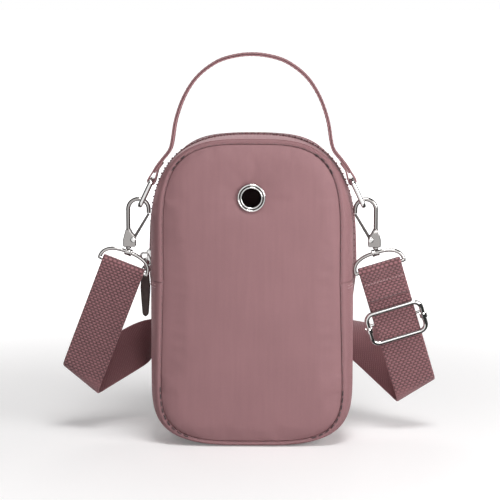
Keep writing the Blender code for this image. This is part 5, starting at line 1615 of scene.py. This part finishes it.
def make_stage(props):
    """The camera, the floor, the studio round it and the lamps."""
    scene = bpy.context.scene
    tilt, turn = math.radians(props.camera_elevation), math.radians(props.camera_turn)
    level = math.cos(tilt)
    away = Vector((math.sin(turn) * level, -math.cos(turn) * level, math.sin(tilt)))
    camera = bpy.data.cameras.new("camera")
    camera.sensor_width = camera.sensor_height = SENSOR
    camera.lens = SENSOR * LENS_DISTANCE / (PIXELS * PIXEL_SIZE)
    camera.clip_start, camera.clip_end = 0.05, 20
    place = CAMERA_TARGET + away * props.camera_distance
    scene.camera = aimed(placed("camera", camera), place, CAMERA_TARGET)
    floor = added(
        "floor", bpy.ops.mesh.primitive_plane_add, size=60.0, location=(0, 27.0, -0.2 * MM)
    )
    floor.data.materials.append(pale_floor("pale_floor", (0.86, 0.85, 0.85), props.floor_glow))
    scene.world = studio_world("studio", props.fill_strength)
    for name, (wide, tall), energy, place, toward in LAMPS:
        light = bpy.data.lights.new(name, "AREA")
        give(light, dict(shape="RECTANGLE", size=wide, size_y=tall, energy=energy))
        aimed(placed(name, light), place, toward)
    scene.view_settings.view_transform = "Standard"


# The add-on's settings, operators and panel.


class BagSettings(bpy.types.PropertyGroup):
    """What the bag's cloth, padding and zip are set to."""

    cloth_colour: bpy.props.FloatVectorProperty(
        name="Cloth colour", description="Colour of the padded cloth, linear",
        default=(0.287, 0.148, 0.158), subtype="COLOR", size=3, min=0, max=1,
    )
    webbing_colour: bpy.props.FloatVectorProperty(
        name="Webbing colour", description="Colour of the strap's webbing, linear",
        default=(0.215, 0.098, 0.106), subtype="COLOR", size=3, min=0, max=1,
    )
    pad_swell: bpy.props.FloatProperty(
        name="Pad swell", description="How far the padding may rise by simulation",
        default=1.1 * MM, unit="LENGTH",
    )
    tooth_pitch: bpy.props.FloatProperty(
        name="Tooth pitch", description="From one zip tooth to the next on its row",
        default=3.5 * MM, unit="LENGTH",
    )


class StageSettings(bpy.types.PropertyGroup):
    """The camera and the light level."""

    camera_elevation: bpy.props.FloatProperty(
        name="Camera elevation", description="How far the camera looks down, in degrees",
        default=8.0, min=-10, max=60,
    )
    camera_turn: bpy.props.FloatProperty(
        name="Camera turn", description="How far the camera stands to the right, in degrees",
        default=1.0, min=-180, max=180,
    )
    camera_distance: bpy.props.FloatProperty(
        name="Camera distance", description="From the camera to the bag", default=1.1,
        unit="LENGTH",
    )
    floor_glow: bpy.props.FloatProperty(
        name="Floor glow", description="Light that the floor itself gives, to read as white",
        default=0.15, min=0, max=1,
    )
    fill_strength: bpy.props.FloatProperty(
        name="Fill strength", description="Light from all round the stage", default=0.22,
        min=0, max=2,
    )


class BAG_OT_finishes(bpy.types.Operator):
    """Makes the materials"""

    bl_idname = "bag.finishes"
    bl_label = "Finishes"

    def execute(self, context):
        make_finishes(context.scene.bag_settings)
        return {"FINISHED"}


class BAG_OT_stage(bpy.types.Operator):
    """Sets up the camera, the floor and the lights"""

    bl_idname = "bag.stage"
    bl_label = "Stage"

    def execute(self, context):
        make_stage(context.scene.bag_stage)
        return {"FINISHED"}


class BAG_OT_strap(bpy.types.Operator):
    """Lays the webbing strap, with its tie and its sewn ends"""

    bl_idname = "bag.strap"
    bl_label = "Strap"

    def execute(self, context):
        strap, path = make_strap()
        dress(strap, "webbing", BODY, "webbing", "strap_left", "strap_hank", "strap_right")
        tie = make_tie()
        make_flap_seams()
        tuple(path[0])
        [tuple(p) for p in path]
        return {"FINISHED"}


class BAG_OT_hooks(bpy.types.Operator):
    """Makes the rings, hooks, gates and swivels of both sides, and the strap's slider"""

    bl_idname = "bag.hooks"
    bl_label = "Hooks"

    def execute(self, context):
        for side, word in SIDES:
            make_hook(side, word)
        make_adjuster()
        return {"FINISHED"}


class BAG_OT_body(bpy.types.Operator):
    """Makes the padded panels, the walls, the lining, the seams and the eyelet"""

    bl_idname = "bag.body"
    bl_label = "Body"

    def execute(self, context):
        swell = context.scene.bag_settings.pad_swell
        make_panel("front_pad", -1, "front_panel", swell, (0.0, EYELET_Z, EYELET_HOLE))
        make_panel("back_pad", 1, "back_panel", swell)
        make_walls()
        make_lining()
        make_seams()
        make_seam_tapes()
        make_eyelet()
        return {"FINISHED"}


class BAG_OT_zip(bpy.types.Operator):
    """Makes the zip, its slider and its leather pull"""

    bl_idname = "bag.zip"
    bl_label = "Zip"

    def execute(self, context):
        make_zip(context.scene.bag_settings.tooth_pitch)
        make_slider()
        make_pull(make_link())
        return {"FINISHED"}


class BAG_OT_handle(bpy.types.Operator):
    """Makes the top handle"""

    bl_idname = "bag.handle"
    bl_label = "Handle"

    def execute(self, context):
        make_handle()
        return {"FINISHED"}


STEPS = (
    BAG_OT_finishes, BAG_OT_stage, BAG_OT_strap, BAG_OT_hooks, BAG_OT_body, BAG_OT_zip,
    BAG_OT_handle,
)


class BAG_PT_panel(bpy.types.Panel):
    """The bag's steps in the sidebar"""

    bl_idname = "BAG_PT_panel"
    bl_label = "Crossbody bag"
    bl_space_type = "VIEW_3D"
    bl_region_type = "UI"
    bl_category = "Bag"

    def draw(self, context):
        for group in (context.scene.bag_settings, context.scene.bag_stage):
            for key in group.__annotations__:
                self.layout.prop(group, key)
        for step in STEPS:
            self.layout.operator(step.bl_idname)


CLASSES = (BagSettings, StageSettings, *STEPS, BAG_PT_panel)


def register():
    for made in CLASSES:
        bpy.utils.register_class(made)
    bpy.types.Scene.bag_settings = bpy.props.PointerProperty(type=BagSettings)
    bpy.types.Scene.bag_stage = bpy.props.PointerProperty(type=StageSettings)


def unregister():
    del bpy.types.Scene.bag_stage
    del bpy.types.Scene.bag_settings
    for made in reversed(CLASSES):
        bpy.utils.unregister_class(made)


def main():
    register()
    for step in STEPS:
        group, name = step.bl_idname.split(".")
        getattr(getattr(bpy.ops, group), name)()


if __name__ == "__main__":
    main()
